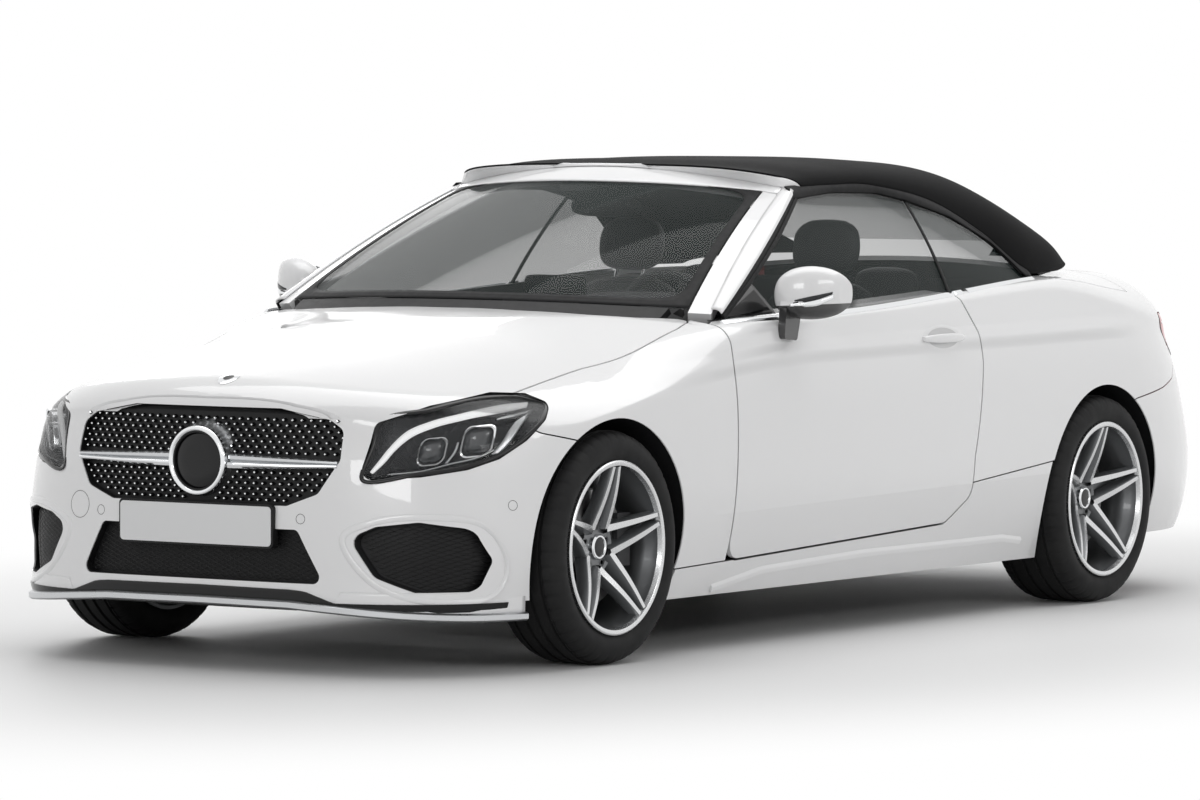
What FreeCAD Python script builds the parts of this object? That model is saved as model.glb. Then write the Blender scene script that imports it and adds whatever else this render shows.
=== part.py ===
# A two-door convertible car with its fabric roof closed, in millimetres.
# The car's front faces -Y, its left side is +X, and the origin is on the ground
# below the middle of its length.

import FreeCAD, Part

import math
import os

Vector = FreeCAD.Vector

# Driving dimensions: alias, value, what it is
SIZES = [
    ("wheelbase", 2840, "front axle to rear axle"),
    ("front_overhang", 775, "nose to front axle"),
    ("rear_overhang", 1071, "rear axle to tail"),
    ("half_width", 903, "widest body half width"),
    ("track_front", 1563, "between the front tyre centres"),
    ("track_rear", 1546, "between the rear tyre centres"),
    ("tyre_radius", 329, "outside radius of a tyre"),
    ("tyre_width_front", 225, "section width of a front tyre"),
    ("tyre_width_rear", 255, "section width of a rear tyre"),
    ("rim_radius", 255, "outside radius of a rim flange"),
    ("arch_radius", 364, "radius of a wheel arch opening"),
    ("well_radius", 377, "radius of a wheel house"),
    ("skin", 4, "thickness of fenders, quarters and bumpers"),
    ("seat_gap", 0.3, "clearance between a skin and the frame behind it"),
    ("panel_gap", 4, "gap between fixed panels"),
    ("door_gap", 6.5, "gap round a door"),
    ("lid_gap", 6, "gap round the bonnet and the boot lid"),
    ("lid_thick", 14.6, "thickness of the bonnet and the boot lid"),
    ("glass_thick", 5, "thickness of every window"),
    ("door_front", 626, "front axle to the front edge of a door"),
    ("door_strip", 14, "thickness of a door's overhanging edge"),
    ("hinge_back", 75, "door edge to door hinge axis"),
    ("hinge_in", 39, "widest side to door hinge axis"),
    ("hinge_pin", 5, "radius of a door hinge pin"),
    ("hinge_low", 430, "height of the lower door hinge"),
    ("hinge_high", 740, "height of the upper door hinge"),
    ("pin_play", 0.1, "clearance round a pin"),
    ("kingpin_in", 30, "tyre centre to steering axis"),
    ("roof_thick", 26, "thickness of the fabric roof with its lining"),
    ("floor_under", 170, "underside of the floor"),
    ("floor_thick", 30, "thickness of the floor"),
    ("wall", 20, "thickness of inner body walls"),
    ("engine_long", 620, "length of the engine block"),
    ("engine_wide", 480, "width of the engine block"),
    ("engine_tall", 500, "height of the engine block"),
    ("seat_wide", 500, "width of a front seat"),
    ("seat_pitch", 360, "centre of the car to the centre of a front seat"),
    ("wheel_ring", 185, "radius of the steering wheel"),
    ("disc_radius", 165, "radius of a brake disc"),
    ("hub_radius", 34, "radius of a wheel hub"),
    ("bolt_circle", 112, "diameter of the wheel bolt circle"),
    ("bolt_hole", 15, "diameter of a wheel bolt hole"),
]

doc = FreeCAD.newDocument("convertible")
sheet = doc.addObject("Spreadsheet::Sheet", "Sizes")
for row, (alias, value, note) in enumerate(SIZES, start=1):
    sheet.set("A%d" % row, str(value))
    sheet.setAlias("A%d" % row, alias)
    sheet.set("B%d" % row, note)
doc.recompute()


def size(alias):
    """One driving dimension, read from the sheet."""
    return float(sheet.get(alias))


LENGTH = size("front_overhang") + size("wheelbase") + size("rear_overhang")
NOSE_Y = -LENGTH / 2
TAIL_Y = LENGTH / 2
FRONT = NOSE_Y + size("front_overhang")
REAR = TAIL_Y - size("rear_overhang")
HUB = size("tyre_radius")
HALF = size("half_width")
SKIN = size("skin")
FRAME_INSET = SKIN + size("seat_gap")
FAR = 3000.0

parts = {}


def keep(name, shape):
    """Put a finished shape into the document as a sub-part named for its node."""
    item = doc.addObject("Part::Feature", name)
    item.Label = name
    item.Shape = shape
    item.Placement = FreeCAD.Placement()
    parts[name] = item
    return item


# Curves and surfaces

def along(knots, at):
    """Smooth value between a few hand-set knots, with no overshoot."""
    if at <= knots[0][0]:
        return knots[0][1]
    if at >= knots[-1][0]:
        return knots[-1][1]
    slopes = []
    for first, second in zip(knots, knots[1:]):
        slopes.append((second[1] - first[1]) / (second[0] - first[0]))
    tangents = [slopes[0]]
    for before, after in zip(slopes, slopes[1:]):
        tangents.append(2 * before * after / (before + after) if before * after > 0 else 0.0)
    tangents.append(slopes[-1])
    for i, (first, second) in enumerate(zip(knots, knots[1:])):
        if at <= second[0]:
            span = second[0] - first[0]
            s = (at - first[0]) / span
            return ((2 * s ** 3 - 3 * s ** 2 + 1) * first[1]
                    + (s ** 3 - 2 * s ** 2 + s) * tangents[i] * span
                    + (3 * s ** 2 - 2 * s ** 3) * second[1]
                    + (s ** 3 - s ** 2) * tangents[i + 1] * span)


def spread(start, end, count, bias=1.0):
    """Evenly spaced values, or crowded towards the start with a bias over 1."""
    return [start + (end - start) * (i / (count - 1)) ** bias for i in range(count)]


# The body is a closed curve at each height: rounded nose, gently bowed side, rounded
# tail. Its side wall leans in below and above the widest line, turns over a shoulder
# and runs on as the bonnet, the deck and the tail to the middle of the car.
BODY_FLOOR = 100.0
WIDEST_AT = 620.0
SILL_LEAN = 95.0
SIDE_LEAN = 52.0
BOW = 0.010
BOW_AT = 250.0
CORNER_POWER = 2.4

NOSE_LINE = [(100, 110), (160, 18), (250, 7), (430, 3), (560, 7), (640, 21), (720, 43), (800, 73)]
NOSE_REACH = [(150, 560), (300, 640), (600, 760), (800, 800)]
NOSE_POWER = [(150, 4.2), (300, 3.8), (600, 3.0), (800, 2.7)]
TAIL_LINE = [(100, 150), (200, 70), (300, 25), (450, 0), (600, 3), (700, 25), (800, 60), (900, 100), (1000, 145)]
TAIL_REACH = [(150, 650), (450, 800), (700, 900), (1000, 900)]
TAIL_POWER = [(150, 3.6), (450, 3.1), (700, 2.6), (1000, 2.4)]
SHOULDER = [(NOSE_Y + 40, 700), (NOSE_Y + 190, 655), (FRONT - 330, 650), (FRONT, 700), (FRONT + 470, 800),
            (FRONT + 720, 880), (FRONT + 1170, 925), (REAR - 970, 950), (REAR - 270, 975), (REAR + 130, 925),
            (REAR + 430, 860), (REAR + 730, 820), (TAIL_Y - 40, 850)]
TURN = [(NOSE_Y + 40, 120), (FRONT - 430, 140), (FRONT, 175), (FRONT + 470, 120), (FRONT + 720, 45),
        (FRONT + 1570, 40), (REAR - 370, 45), (REAR - 70, 90), (REAR + 330, 190), (REAR + 730, 200),
        (TAIL_Y - 40, 60)]
CROWN = [(NOSE_Y + 40, 772), (NOSE_Y + 150, 806), (NOSE_Y + 340, 848), (FRONT - 230, 884), (FRONT, 920),
         (FRONT + 270, 955), (FRONT + 470, 982), (FRONT + 670, 1002), (FRONT + 1570, 1030), (REAR - 270, 1070),
         (REAR + 130, 1085), (REAR + 430, 1082), (REAR + 730, 1062), (REAR + 930, 1045), (TAIL_Y, 1040)]
FALL = [(NOSE_Y + 40, 90), (FRONT - 330, 104), (FRONT + 170, 98), (FRONT + 630, 48), (FRONT + 1570, 40),
        (REAR - 270, 30), (REAR + 230, 60), (REAR + 930, 90)]
SPINE = [(0, NOSE_Y + 390), (1, FRONT + 120), (2, REAR + 80), (3, TAIL_Y - 440)]


def half_width_at(z):
    """Half width of the body at a height, at the middle of its length."""
    if z < WIDEST_AT:
        return HALF - SILL_LEAN * ((WIDEST_AT - z) / 500.0) ** 2.5
    return HALF - SIDE_LEAN * ((z - WIDEST_AT) / 360.0) ** 2


def plan_point(z, turn):
    """Point of the body's plan curve: 0 nose, 1 and 2 the ends of the side, 3 tail."""
    nose = NOSE_Y + along(NOSE_LINE, z)
    tail = TAIL_Y - along(TAIL_LINE, z)
    front_end = nose + along(NOSE_REACH, z)
    rear_end = tail - along(TAIL_REACH, z)
    if turn <= 1:
        angle = turn * math.pi / 2
        y = front_end - along(NOSE_REACH, z) * math.cos(angle) ** (2 / CORNER_POWER)
        share = math.sin(angle) ** (2 / along(NOSE_POWER, z))
    elif turn >= 2:
        angle = (3 - turn) * math.pi / 2
        y = rear_end + along(TAIL_REACH, z) * math.cos(angle) ** (2 / CORNER_POWER)
        share = math.sin(angle) ** (2 / along(TAIL_POWER, z))
    else:
        y = front_end + (rear_end - front_end) * (turn - 1)
        share = 1.0
    bow = 1 - BOW * ((y - BOW_AT) / 1900.0) ** 2
    return half_width_at(z) * bow * max(share, 0.0), y


def deck(x, y):
    """Height of the bonnet, the deck and the tail's upper face."""
    return along(CROWN, y) - along(FALL, y) * (abs(x) / 720.0) ** 2.2


def body_point(turn, rise):
    """Point of the body's skin: rise 0 to 1 up the wall, 1 to 2 over to the middle."""
    edge_z = 800.0
    for _ in range(10):
        edge_x, edge_y = plan_point(edge_z, turn)
        edge_z = along(SHOULDER, edge_y)
    if rise <= 1:
        z = BODY_FLOOR + (edge_z - BODY_FLOOR) * rise
        x, y = plan_point(z, turn)
        return Vector(x, y, z)
    inward = (rise - 1) ** 1.8
    spine_y = along(SPINE, turn)
    x = edge_x * (1 - inward)
    y = edge_y + (spine_y - edge_y) * inward
    reach = math.hypot(x - edge_x, y - edge_y) / along(TURN, edge_y)
    over = (1 - (1 - min(reach, 1.0)) ** 2.1) ** (1 / 2.1)
    return Vector(x, y, edge_z + (deck(x, y) - edge_z) * over)


TURNS = spread(0, 1, 17)[:-1] + spread(1, 2, 17)[:-1] + spread(2, 3, 17)
RISES = spread(0, 1, 9)[:-1] + spread(1, 2, 13)


def grid_normals(grid):
    """Unit normals of a grid of points, from its neighbours."""
    rows = len(grid)
    columns = len(grid[0])
    normals = []
    for i in range(rows):
        line = []
        for j in range(columns):
            across = grid[min(i + 1, rows - 1)][j] - grid[max(i - 1, 0)][j]
            up = grid[i][min(j + 1, columns - 1)] - grid[i][max(j - 1, 0)]
            normal = across.cross(up)
            line.append(normal.normalize())
        normals.append(line)
    return normals


def spline_through(points):
    """Cubic curve through points, with evenly spaced parameters."""
    curve = Part.BSplineCurve()
    last = len(points) - 1
    curve.interpolate(Points=points, Parameters=[i / last for i in range(last + 1)])
    return curve


def face_through(grid):
    """Smooth face that passes exactly through a grid of points."""
    rows = [spline_through(line) for line in grid]
    columns = [spline_through([row.getPoles()[k] for row in rows]) for k in range(rows[0].NbPoles)]
    poles = [[column.getPoles()[i] for column in columns] for i in range(columns[0].NbPoles)]
    surface = Part.BSplineSurface()
    surface.buildFromPolesMultsKnots(poles, columns[0].getMultiplicities(), rows[0].getMultiplicities(),
                                     columns[0].getKnots(), rows[0].getKnots(), False, False, 3, 3)
    return surface.toShape()


def closed(faces):
    """Solid inside a set of faces that meet edge to edge."""
    shell = Part.makeShell(faces)
    shell.sewShape()
    solid = Part.makeSolid(shell)
    if solid.Volume < 0:
        solid.reverse()
    return solid


BODY_GRID = [[body_point(turn, rise) for rise in RISES] for turn in TURNS]
BODY_NORMALS = grid_normals(BODY_GRID)


def body_half(inset):
    """Left half of the body as a solid, with its skin moved in by the inset."""
    grid = []
    for i, line in enumerate(BODY_GRID):
        moved = []
        for j, point in enumerate(line):
            new = point - BODY_NORMALS[i][j] * inset
            if j == 0:
                new.z = BODY_FLOOR
            if i in (0, len(BODY_GRID) - 1) or j == len(line) - 1:
                new.x = 0.0
            moved.append(new)
        grid.append(moved)
    outer = face_through(grid)
    nose = grid[0][0]
    tail = grid[-1][0]
    base_line = Part.makeLine(tail, nose)
    flat = []
    middle = []
    for edge in outer.Edges:
        half_way = edge.valueAt((edge.FirstParameter + edge.LastParameter) / 2)
        low = abs(half_way.z - BODY_FLOOR) < 0.01
        (flat if low else middle).append(edge)
    floor = Part.Face(Part.Wire(Part.__sortEdges__(flat + [base_line])))
    plane = Part.Face(Part.Wire(Part.__sortEdges__(middle + [base_line])))
    return closed([outer, floor, plane])


# Outlines drawn flat and pushed through the body

def grown(corners, grow):
    """Corner points of a flat outline moved out by a distance."""
    count = len(corners)
    area = sum(corners[i - 1][0] * corners[i][1] - corners[i][0] * corners[i - 1][1] for i in range(count))
    side = 1 if area > 0 else -1
    moved = []
    for i in range(count):
        before, here, after = corners[i - 1], corners[i], corners[(i + 1) % count]
        a = Vector(here[0] - before[0], here[1] - before[1], 0).normalize()
        b = Vector(after[0] - here[0], after[1] - here[1], 0).normalize()
        out_a = Vector(a.y, -a.x, 0) * side
        out_b = Vector(b.y, -b.x, 0) * side
        bisector = out_a + out_b
        step = bisector * (2 * grow / bisector.dot(bisector))
        moved.append((here[0] + step.x, here[1] + step.y))
    return moved


def rounded(corners, radius, place):
    """Closed wire through flat corner points, each corner an arc, put in place by a function."""
    count = len(corners)
    points = [Vector(a, b, 0) for a, b in corners]
    arcs = []
    for i in range(count):
        before, here, after = points[i - 1], points[i], points[(i + 1) % count]
        back = before - here
        ahead = after - here
        half = back.getAngle(ahead) / 2
        if radius <= 0 or half > 1.54:
            arcs.append((here, None, here))
            continue
        cut = min(radius / math.tan(half), 0.45 * back.Length, 0.45 * ahead.Length)
        start = here + back.normalize() * cut
        end = here + ahead.normalize() * cut
        centre = here + (back + ahead).normalize() * (cut / math.cos(half))
        nearest = centre + (here - centre).normalize() * (cut * math.tan(half))
        arcs.append((start, nearest, end))
    edges = []
    for i in range(count):
        start, nearest, end = arcs[i]
        if nearest is not None:
            edges.append(Part.Arc(place(start), place(nearest), place(end)).toShape())
        following = arcs[(i + 1) % count][0]
        if (following - end).Length > 0.001:
            edges.append(Part.makeLine(place(end), place(following)))
    return Part.Wire(edges)


AXES = {"x": (Vector(0, 1, 0), Vector(0, 0, 1), Vector(1, 0, 0)),
        "y": (Vector(1, 0, 0), Vector(0, 0, 1), Vector(0, 1, 0)),
        "z": (Vector(1, 0, 0), Vector(0, 1, 0), Vector(0, 0, 1))}


def prism(axes, corners, start, end, radius=0.0, grow=0.0):
    """Solid of a flat outline run along an axis: (y, z), (x, z) or (x, y) corners."""
    if grow:
        corners = grown(corners, grow)
    first, second, run = AXES[axes] if isinstance(axes, str) else axes
    wire = rounded(corners, radius, lambda p: first * p.x + second * p.y + run * start)
    solid = Part.Face(wire).extrude(run * (end - start))
    if solid.Volume < 0:
        solid.reverse()
    return solid


def block(x0, x1, y0, y1, z0, z1):
    """Box between two values on each axis."""
    return Part.makeBox(x1 - x0, y1 - y0, z1 - z0, Vector(x0, y0, z0))


def drum(radius, x0, x1, y, z):
    """Cylinder along X."""
    return Part.makeCylinder(radius, x1 - x0, Vector(x0, y, z), Vector(1, 0, 0))


def mirrored(shape):
    """The same shape on the other side of the car."""
    return shape.mirror(Vector(0, 0, 0), Vector(1, 0, 0))


def both(shape):
    """A left-hand shape and its mirror image in one."""
    return shape.fuse(mirrored(shape))


def pair(shape):
    """A left-hand shape and its mirror image side by side."""
    return Part.makeCompound(shape.Solids + mirrored(shape).Solids)


def slab(surface, across, up, depth, proud=0.0):
    """Solid between a surface moved out by proud and the same surface moved in by a depth."""
    outer = [[surface(a, b) for b in up] for a in across]
    normals = grid_normals(outer)
    for line, normal in zip(outer, normals):
        for p, n in zip(line, normal):
            if abs(p.x) < 0.001:
                n.x = 0.0
    inner = [[p - n * depth for p, n in zip(line, normal)] for line, normal in zip(outer, normals)]
    outer = [[p + n * proud for p, n in zip(line, normal)] for line, normal in zip(outer, normals)]
    top = face_through(outer)
    base = face_through(inner)
    faces = [top, base]
    for first, second in zip(top.Edges, base.Edges):
        faces.append(Part.makeRuledSurface(first, second))
    return closed(faces)


# Regions of the body that the panels share

DOOR_Y = FRONT + size("door_front")
DOOR_REAR = REAR - 785
DOOR = [(DOOR_Y, 258), (DOOR_Y, 1150), (REAR - 975, 1150), (DOOR_REAR, 872), (DOOR_REAR, 790),
        (REAR - 846, 500), (REAR - 846, 385), (REAR - 985, 304)]
BONNET = [(0, NOSE_Y + 66), (300, NOSE_Y + 70), (470, NOSE_Y + 84), (545, NOSE_Y + 112), (640, FRONT - 550),
          (724, FRONT - 300), (724, FRONT + 60), (742, FRONT + 310), (752, FRONT + 520), (738, FRONT + 605),
          (700, FRONT + 605), (600, FRONT + 540), (470, FRONT + 490), (250, FRONT + 438), (0, FRONT + 420)]
BUMPER_FRONT = [(NOSE_Y - 100, 50), (FRONT, 50), (FRONT, 590), (FRONT - 170, 632), (FRONT - 362, 668),
                (FRONT - 362, 900), (NOSE_Y - 100, 900)]
BUMPER_REAR = [(REAR, 50), (TAIL_Y + 100, 50), (TAIL_Y + 100, 735), (REAR + 590, 735), (REAR + 540, 695),
               (REAR + 415, 668), (REAR + 200, 640), (REAR, 560)]
SKIRT = [(FRONT + 200, 50), (REAR - 200, 50), (REAR - 200, 480), (REAR - 350, 462), (REAR - 846, 418),
         (REAR - 985, 300), (DOOR_Y, 254), (FRONT + 300, 243), (FRONT + 200, 240)]
LID = [(0, 738), (525, 738), (560, 860), (575, 960), (545, 1300), (0, 1300)]
LID_FRONT = REAR + 350
ROOF_BASE = [(0, REAR + 250), (420, REAR + 215), (640, REAR + 90), (722, REAR - 120), (752, REAR - 300)]
BELT_LINE = [(807, FRONT + 640), (826, FRONT + 900), (826, REAR - 1100), (812, REAR - 700), (784, REAR - 300)]


def front_arch(radius, x0):
    return drum(radius, x0, HALF + 100, FRONT, HUB)


def rear_arch(radius, x0):
    return drum(radius, x0, HALF + 100, REAR, HUB)


LAMP_TURN = math.radians(40)
LAMP_BACK = 1760
LAMP = [(-1075, 540), (-1040, 640), (-1026, 690), (-877, 736), (-700, 768), (-600, 764), (-535, 738), (-552, 700),
        (-612, 645), (-690, 598), (-780, 570), (-910, 551)]
TAIL_TURN = math.radians(45)
TAIL_LAMP_BACK = 1720
TAIL_LAMP = [(-680, 862), (-712, 905), (-900, 902), (-1170, 885), (-1215, 850), (-1195, 795), (-1010, 752),
             (-850, 757), (-730, 800)]


def lamp_prism(corners, turn, back, side, grow):
    """A lamp's outline run out through a corner of the body, the front one or the rear one."""
    c, d = math.cos(turn), math.sin(turn)
    axes = (Vector(c, -side * d, 0), Vector(0, 0, 1), Vector(d, side * c, 0))
    return prism(axes, corners, back, 2400, 28, grow)


def headlamp_region(grow=0.0):
    return lamp_prism(LAMP, LAMP_TURN, LAMP_BACK, -1, grow)


def tail_lamp_region(grow=0.0):
    return lamp_prism(TAIL_LAMP, TAIL_TURN, TAIL_LAMP_BACK, 1, grow)


def cabin_region(grow=0.0):
    """Everything inside the belt line, from the windscreen's foot to the roof's rear edge."""
    corners = [(0, FRONT + 440)] + [(690, FRONT + 640)] + BELT_LINE + [(0, REAR + 650)]
    return prism("z", corners, 500, 1400, 0, grow)


OUTER = body_half(0)
UNDER_SKIN = body_half(SKIN)
FRAME = body_half(FRAME_INSET)
UNDER_LID = body_half(size("lid_thick"))
UNDER_STRIP = body_half(size("door_strip"))
SHELL = OUTER.cut(UNDER_SKIN)
GAP = size("panel_gap")
DOOR_GAP = size("door_gap")
LID_GAP = size("lid_gap")


# Fixed panels and the bonnet, the boot lid and the tonneau cover

GRILLE = [(-452, 590), (-395, 497), (-300, 462), (300, 462), (395, 497), (452, 590), (448, 672), (405, 700),
          (250, 728), (-250, 728), (-405, 700), (-448, 672)]
INTAKE = [(-418, 250), (418, 250), (335, 398), (-335, 398)]
CORNER_INTAKE = [(489, 379), (558, 273), (675, 224), (772, 230), (800, 318), (771, 405), (663, 425), (560, 412)]
BUMPER_LOW = 200
LIP_LOW = 176
TONNEAU = [(0, REAR - 300), (778, REAR - 300), (802, REAR - 150), (802, REAR + 100), (778, LID_FRONT - LID_GAP),
           (0, LID_FRONT - LID_GAP)]


def bonnet_region(grow=0.0):
    return prism("z", BONNET + [(-x, y) for x, y in reversed(BONNET[1:-1])], 702, 1200, 40, grow)


def lid_region(grow=0.0):
    corners = LID + [(-x, z) for x, z in reversed(LID[1:-1])]
    return prism("y", corners, LID_FRONT - grow, TAIL_Y + 100, 45, grow)


def side_region(corners, grow=0.0, radius=60):
    return prism("x", corners, 0, 1200, radius, grow)


def roof_base_region(grow=0.0):
    """The roof's rear edge in plan, with everything ahead of it."""
    corners = ROOF_BASE + [(752, FRONT), (0, FRONT)]
    return prism("z", corners, 500, 1500, 0, grow)


def less(shape, *others):
    """A shape with others cut from it."""
    for other in others:
        shape = shape.cut(other)
    return shape


BONNET_AXIS_Y = FRONT + 638
BONNET_AXIS_Z = 925
BONNET_ARM = [(BONNET_AXIS_Y - 140, 922), (BONNET_AXIS_Y - 80, 936), (BONNET_AXIS_Y - 20, 935), (BONNET_AXIS_Y, 937),
              (BONNET_AXIS_Y, 913), (BONNET_AXIS_Y - 80, 900), (BONNET_AXIS_Y - 140, 904)]
LID_HINGE_X = 150
LID_AXIS_Y = LID_FRONT + 15
LID_AXIS_Z = deck(LID_HINGE_X, LID_AXIS_Y) - 9


def fascia(corners, radius, front, back, lip):
    """Left half of a panel behind an opening, with a rim that seats on the back of the bumper."""
    region = prism("y", corners, -FAR, FRONT - 395, radius, lip)
    opening = prism("y", corners, -FAR, FRONT - 300, radius, -2)
    full = FRAME.cut(body_half(back)).common(region)
    return full.cut(FRAME.cut(body_half(front)).common(opening))


def make_panels():
    fender = SHELL.common(block(300, 1000, FRONT - 420, DOOR_Y - DOOR_GAP, 200, 1100))
    fender = less(fender, side_region(BUMPER_FRONT, GAP), side_region(SKIRT, GAP, 20), bonnet_region(LID_GAP),
                  headlamp_region(GAP), front_arch(size("arch_radius"), 300), cabin_region(GAP),
                  block(0, 706, FRONT + 380, FRONT + 700, 600, 1200),
                  block(0, 736, FRONT + 560, BONNET_AXIS_Y - 17, 900, 1000))
    keep("front_fenders", pair(fender))

    quarter = SHELL.common(block(300, 1000, REAR - 1000, TAIL_Y, 200, 1150))
    quarter = less(quarter, side_region(DOOR, DOOR_GAP), side_region(BUMPER_REAR, GAP), side_region(SKIRT, GAP, 20),
                   tail_lamp_region(GAP), lid_region(LID_GAP), prism("z", TONNEAU, 500, 1400, 0, GAP),
                   rear_arch(size("arch_radius"), 300), cabin_region(GAP))
    keep("rear_quarters", pair(quarter))

    skirt = OUTER.common(side_region(SKIRT, 0, 20)).common(block(800.3, 1000, -FAR, FAR, 158, 600))
    skirt = less(skirt, side_region(DOOR, DOOR_GAP), front_arch(size("arch_radius") + 8, 300),
                 rear_arch(size("arch_radius") + 8, 300))
    keep("side_skirts", pair(skirt))

    bumper = SHELL.common(side_region(BUMPER_FRONT)).common(block(-1, 1000, -FAR, FAR, BUMPER_LOW, 1000))
    bumper = less(bumper, bonnet_region(LID_GAP), headlamp_region(GAP), front_arch(size("arch_radius"), 300),
                  prism("y", GRILLE, -FAR, FRONT, 30), prism("y", INTAKE, -FAR, FRONT, 20),
                  prism("y", CORNER_INTAKE, -FAR, FRONT, 40))
    keep("front_bumper", both(bumper))

    rear = SHELL.common(side_region(BUMPER_REAR)).common(block(-1, 1000, -FAR, FAR, BUMPER_LOW, 1000))
    rear = less(rear, lid_region(LID_GAP), tail_lamp_region(GAP), rear_arch(size("arch_radius"), 300))
    keep("rear_bumper", both(rear))

    thick = OUTER.cut(UNDER_LID)
    bonnet = both(thick.common(bonnet_region()).cut(headlamp_region(GAP)))
    lid = thick.common(lid_region()).common(block(-1, 1000, 0, FAR, 0, 1300))
    notch = block(LID_HINGE_X - 9, LID_HINGE_X + 9, LID_FRONT - 1, LID_AXIS_Y + 14, LID_AXIS_Z - 40, LID_AXIS_Z + 6.5)
    lid = lid.cut(notch).fuse(drum(3, LID_HINGE_X - 12, LID_HINGE_X + 12, LID_AXIS_Y, LID_AXIS_Z))
    for side in (1, -1):
        inside, outside = (664, 674.5) if side > 0 else (-674.5, -664)
        arm = prism("x", BONNET_ARM, inside, outside, 6).fuse(drum(12, inside, outside, BONNET_AXIS_Y, BONNET_AXIS_Z))
        bonnet = bonnet.fuse(arm)
        bonnet = bonnet.cut(drum(size("hinge_pin") + size("pin_play"), inside - 5, outside + 5, BONNET_AXIS_Y, BONNET_AXIS_Z))
    keep("bonnet", bonnet)
    keep("boot_lid", both(lid))
    tonneau = thick.common(prism("z", TONNEAU, 700, 1400))
    keep("tonneau_cover", both(tonneau.cut(roof_base_region(3))))

    centre = both(fascia(INTAKE, 20, 30, 36, 10))
    keep("intake_meshes", Part.makeCompound(centre.Solids + pair(fascia(CORNER_INTAKE, 40, 30, 36, 8)).Solids))

    lip = body_half(-6).cut(body_half(24)).common(block(-1, 1000, -FAR, FRONT - 425, LIP_LOW, BUMPER_LOW - 0.3))
    keep("front_lip", both(lip))

    under_bonnet = bonnet_region(LID_GAP).cut(body_half(size("lid_thick") + LID_GAP - 0.5))
    grille = less(fascia(GRILLE, 30, 22, 32, 12), fascia(INTAKE, 20, 4, 60, 12), under_bonnet)
    ring = Part.makeCylinder(97, 30, Vector(0, NOSE_Y + 2, 578), Vector(0, 1, 0))
    ring = ring.cut(Part.makeCylinder(78, 12, Vector(0, NOSE_Y + 1, 578), Vector(0, 1, 0)))
    bar = block(-446, 446, NOSE_Y + 20, NOSE_Y + 80, 566, 590).common(both(body_half(4)))
    grille = both(grille).fuse([ring, bar.cut(Part.makeCylinder(90, 90, Vector(0, NOSE_Y, 578), Vector(0, 1, 0)))])
    keep("grille", grille)

    lamp = body_half(1).common(headlamp_region()).common(block(460, 1000, -FAR, FRONT - 100, 0, 1000))
    keep("headlamps", pair(lamp))
    tail = body_half(1).common(tail_lamp_region())
    keep("tail_lamps", pair(tail.cut(lid_region(LID_GAP))))


# The windows, their frame and the fabric roof

def screen(across, up):
    """Windscreen surface: across -1 to 1 between its corners, up 0 to 1 from its foot."""
    flat = 1 - across * across
    foot = Vector(705 * across, FRONT + 657 - 175 * flat, 981 + 19 * flat)
    head = Vector(545 * across, FRONT + 1325 - 95 * flat, 1318 + 50 * flat)
    belly = 18 * 4 * up * (1 - up)
    return foot + (head - foot) * up + Vector(0, -0.5 * belly, 0.85 * belly)


def side_window(y, z, out=0.0):
    """Side window surface, leaning in above the belt."""
    rise = z - 1000
    x = 812 - 0.5 * rise - 0.00055 * rise * rise - 35 * ((y - 100) / 900.0) ** 2
    return Vector(x + out, y, z)


ROOF_EDGE = [(0.0, 600, FRONT + 1366, 1326), (0.2, 606, FRONT + 1600, 1334), (0.4, 612, FRONT + 1860, 1330),
             (0.55, 628, REAR - 680, 1280), (0.7, 672, REAR - 430, 1172), (0.82, 742, REAR - 262, 1052),
             (0.9, 742, REAR - 130, 1052), (1.0, 706, REAR + 10, 1056)]
ROOF_CROWN = [(0.0, FRONT + 1270, 1374), (0.2, FRONT + 1500, 1402), (0.4, REAR - 900, 1410), (0.55, REAR - 560, 1404),
              (0.7, REAR - 300, 1372), (0.82, REAR - 60, 1285), (0.9, REAR + 90, 1205), (1.0, REAR + 240, 1092)]


def roof(back, over):
    """Left half of the fabric roof: back 0 to 1 along it, over 0 at its edge to 1 at the crown."""
    edge = Vector(along([(k[0], k[1]) for k in ROOF_EDGE], back), along([(k[0], k[2]) for k in ROOF_EDGE], back),
                  along([(k[0], k[3]) for k in ROOF_EDGE], back))
    crown_y = along([(k[0], k[1]) for k in ROOF_CROWN], back)
    crown_z = along([(k[0], k[2]) for k in ROOF_CROWN], back)
    angle = over * math.pi / 2
    share = math.sin(angle) ** (2 / 2.5)
    x = edge.x * max(math.cos(angle), 0.0) ** (2 / 3.2)
    return Vector(x, edge.y + (crown_y - edge.y) * share, edge.z + (crown_z - edge.z) * share)


DOOR_GLASS = [(FRONT + 698, 935), (FRONT + 700, 955), (FRONT + 1403, 1301), (FRONT + 1598, 1316), (FRONT + 1868, 1312),
              (REAR - 812, 1288), (REAR - 860, 1005), (REAR - 860, 935)]
QUARTER_GLASS = [(REAR - 852, 935), (REAR - 852, 1005), (REAR - 804, 1285), (REAR - 600, 1234), (REAR - 425, 1152),
                 (REAR - 300, 1044), (REAR - 300, 935)]
REAR_WINDOW = [(-400, 1140), (400, 1140), (440, 1180), (400, 1300), (-400, 1300), (-440, 1180)]


def window_sheet(out, depth):
    """The whole side's window surface as a sheet of some depth."""
    return slab(lambda y, z: side_window(y, z, out), spread(FRONT + 690, REAR - 290, 9), spread(925, 1330, 7), depth)


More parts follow.
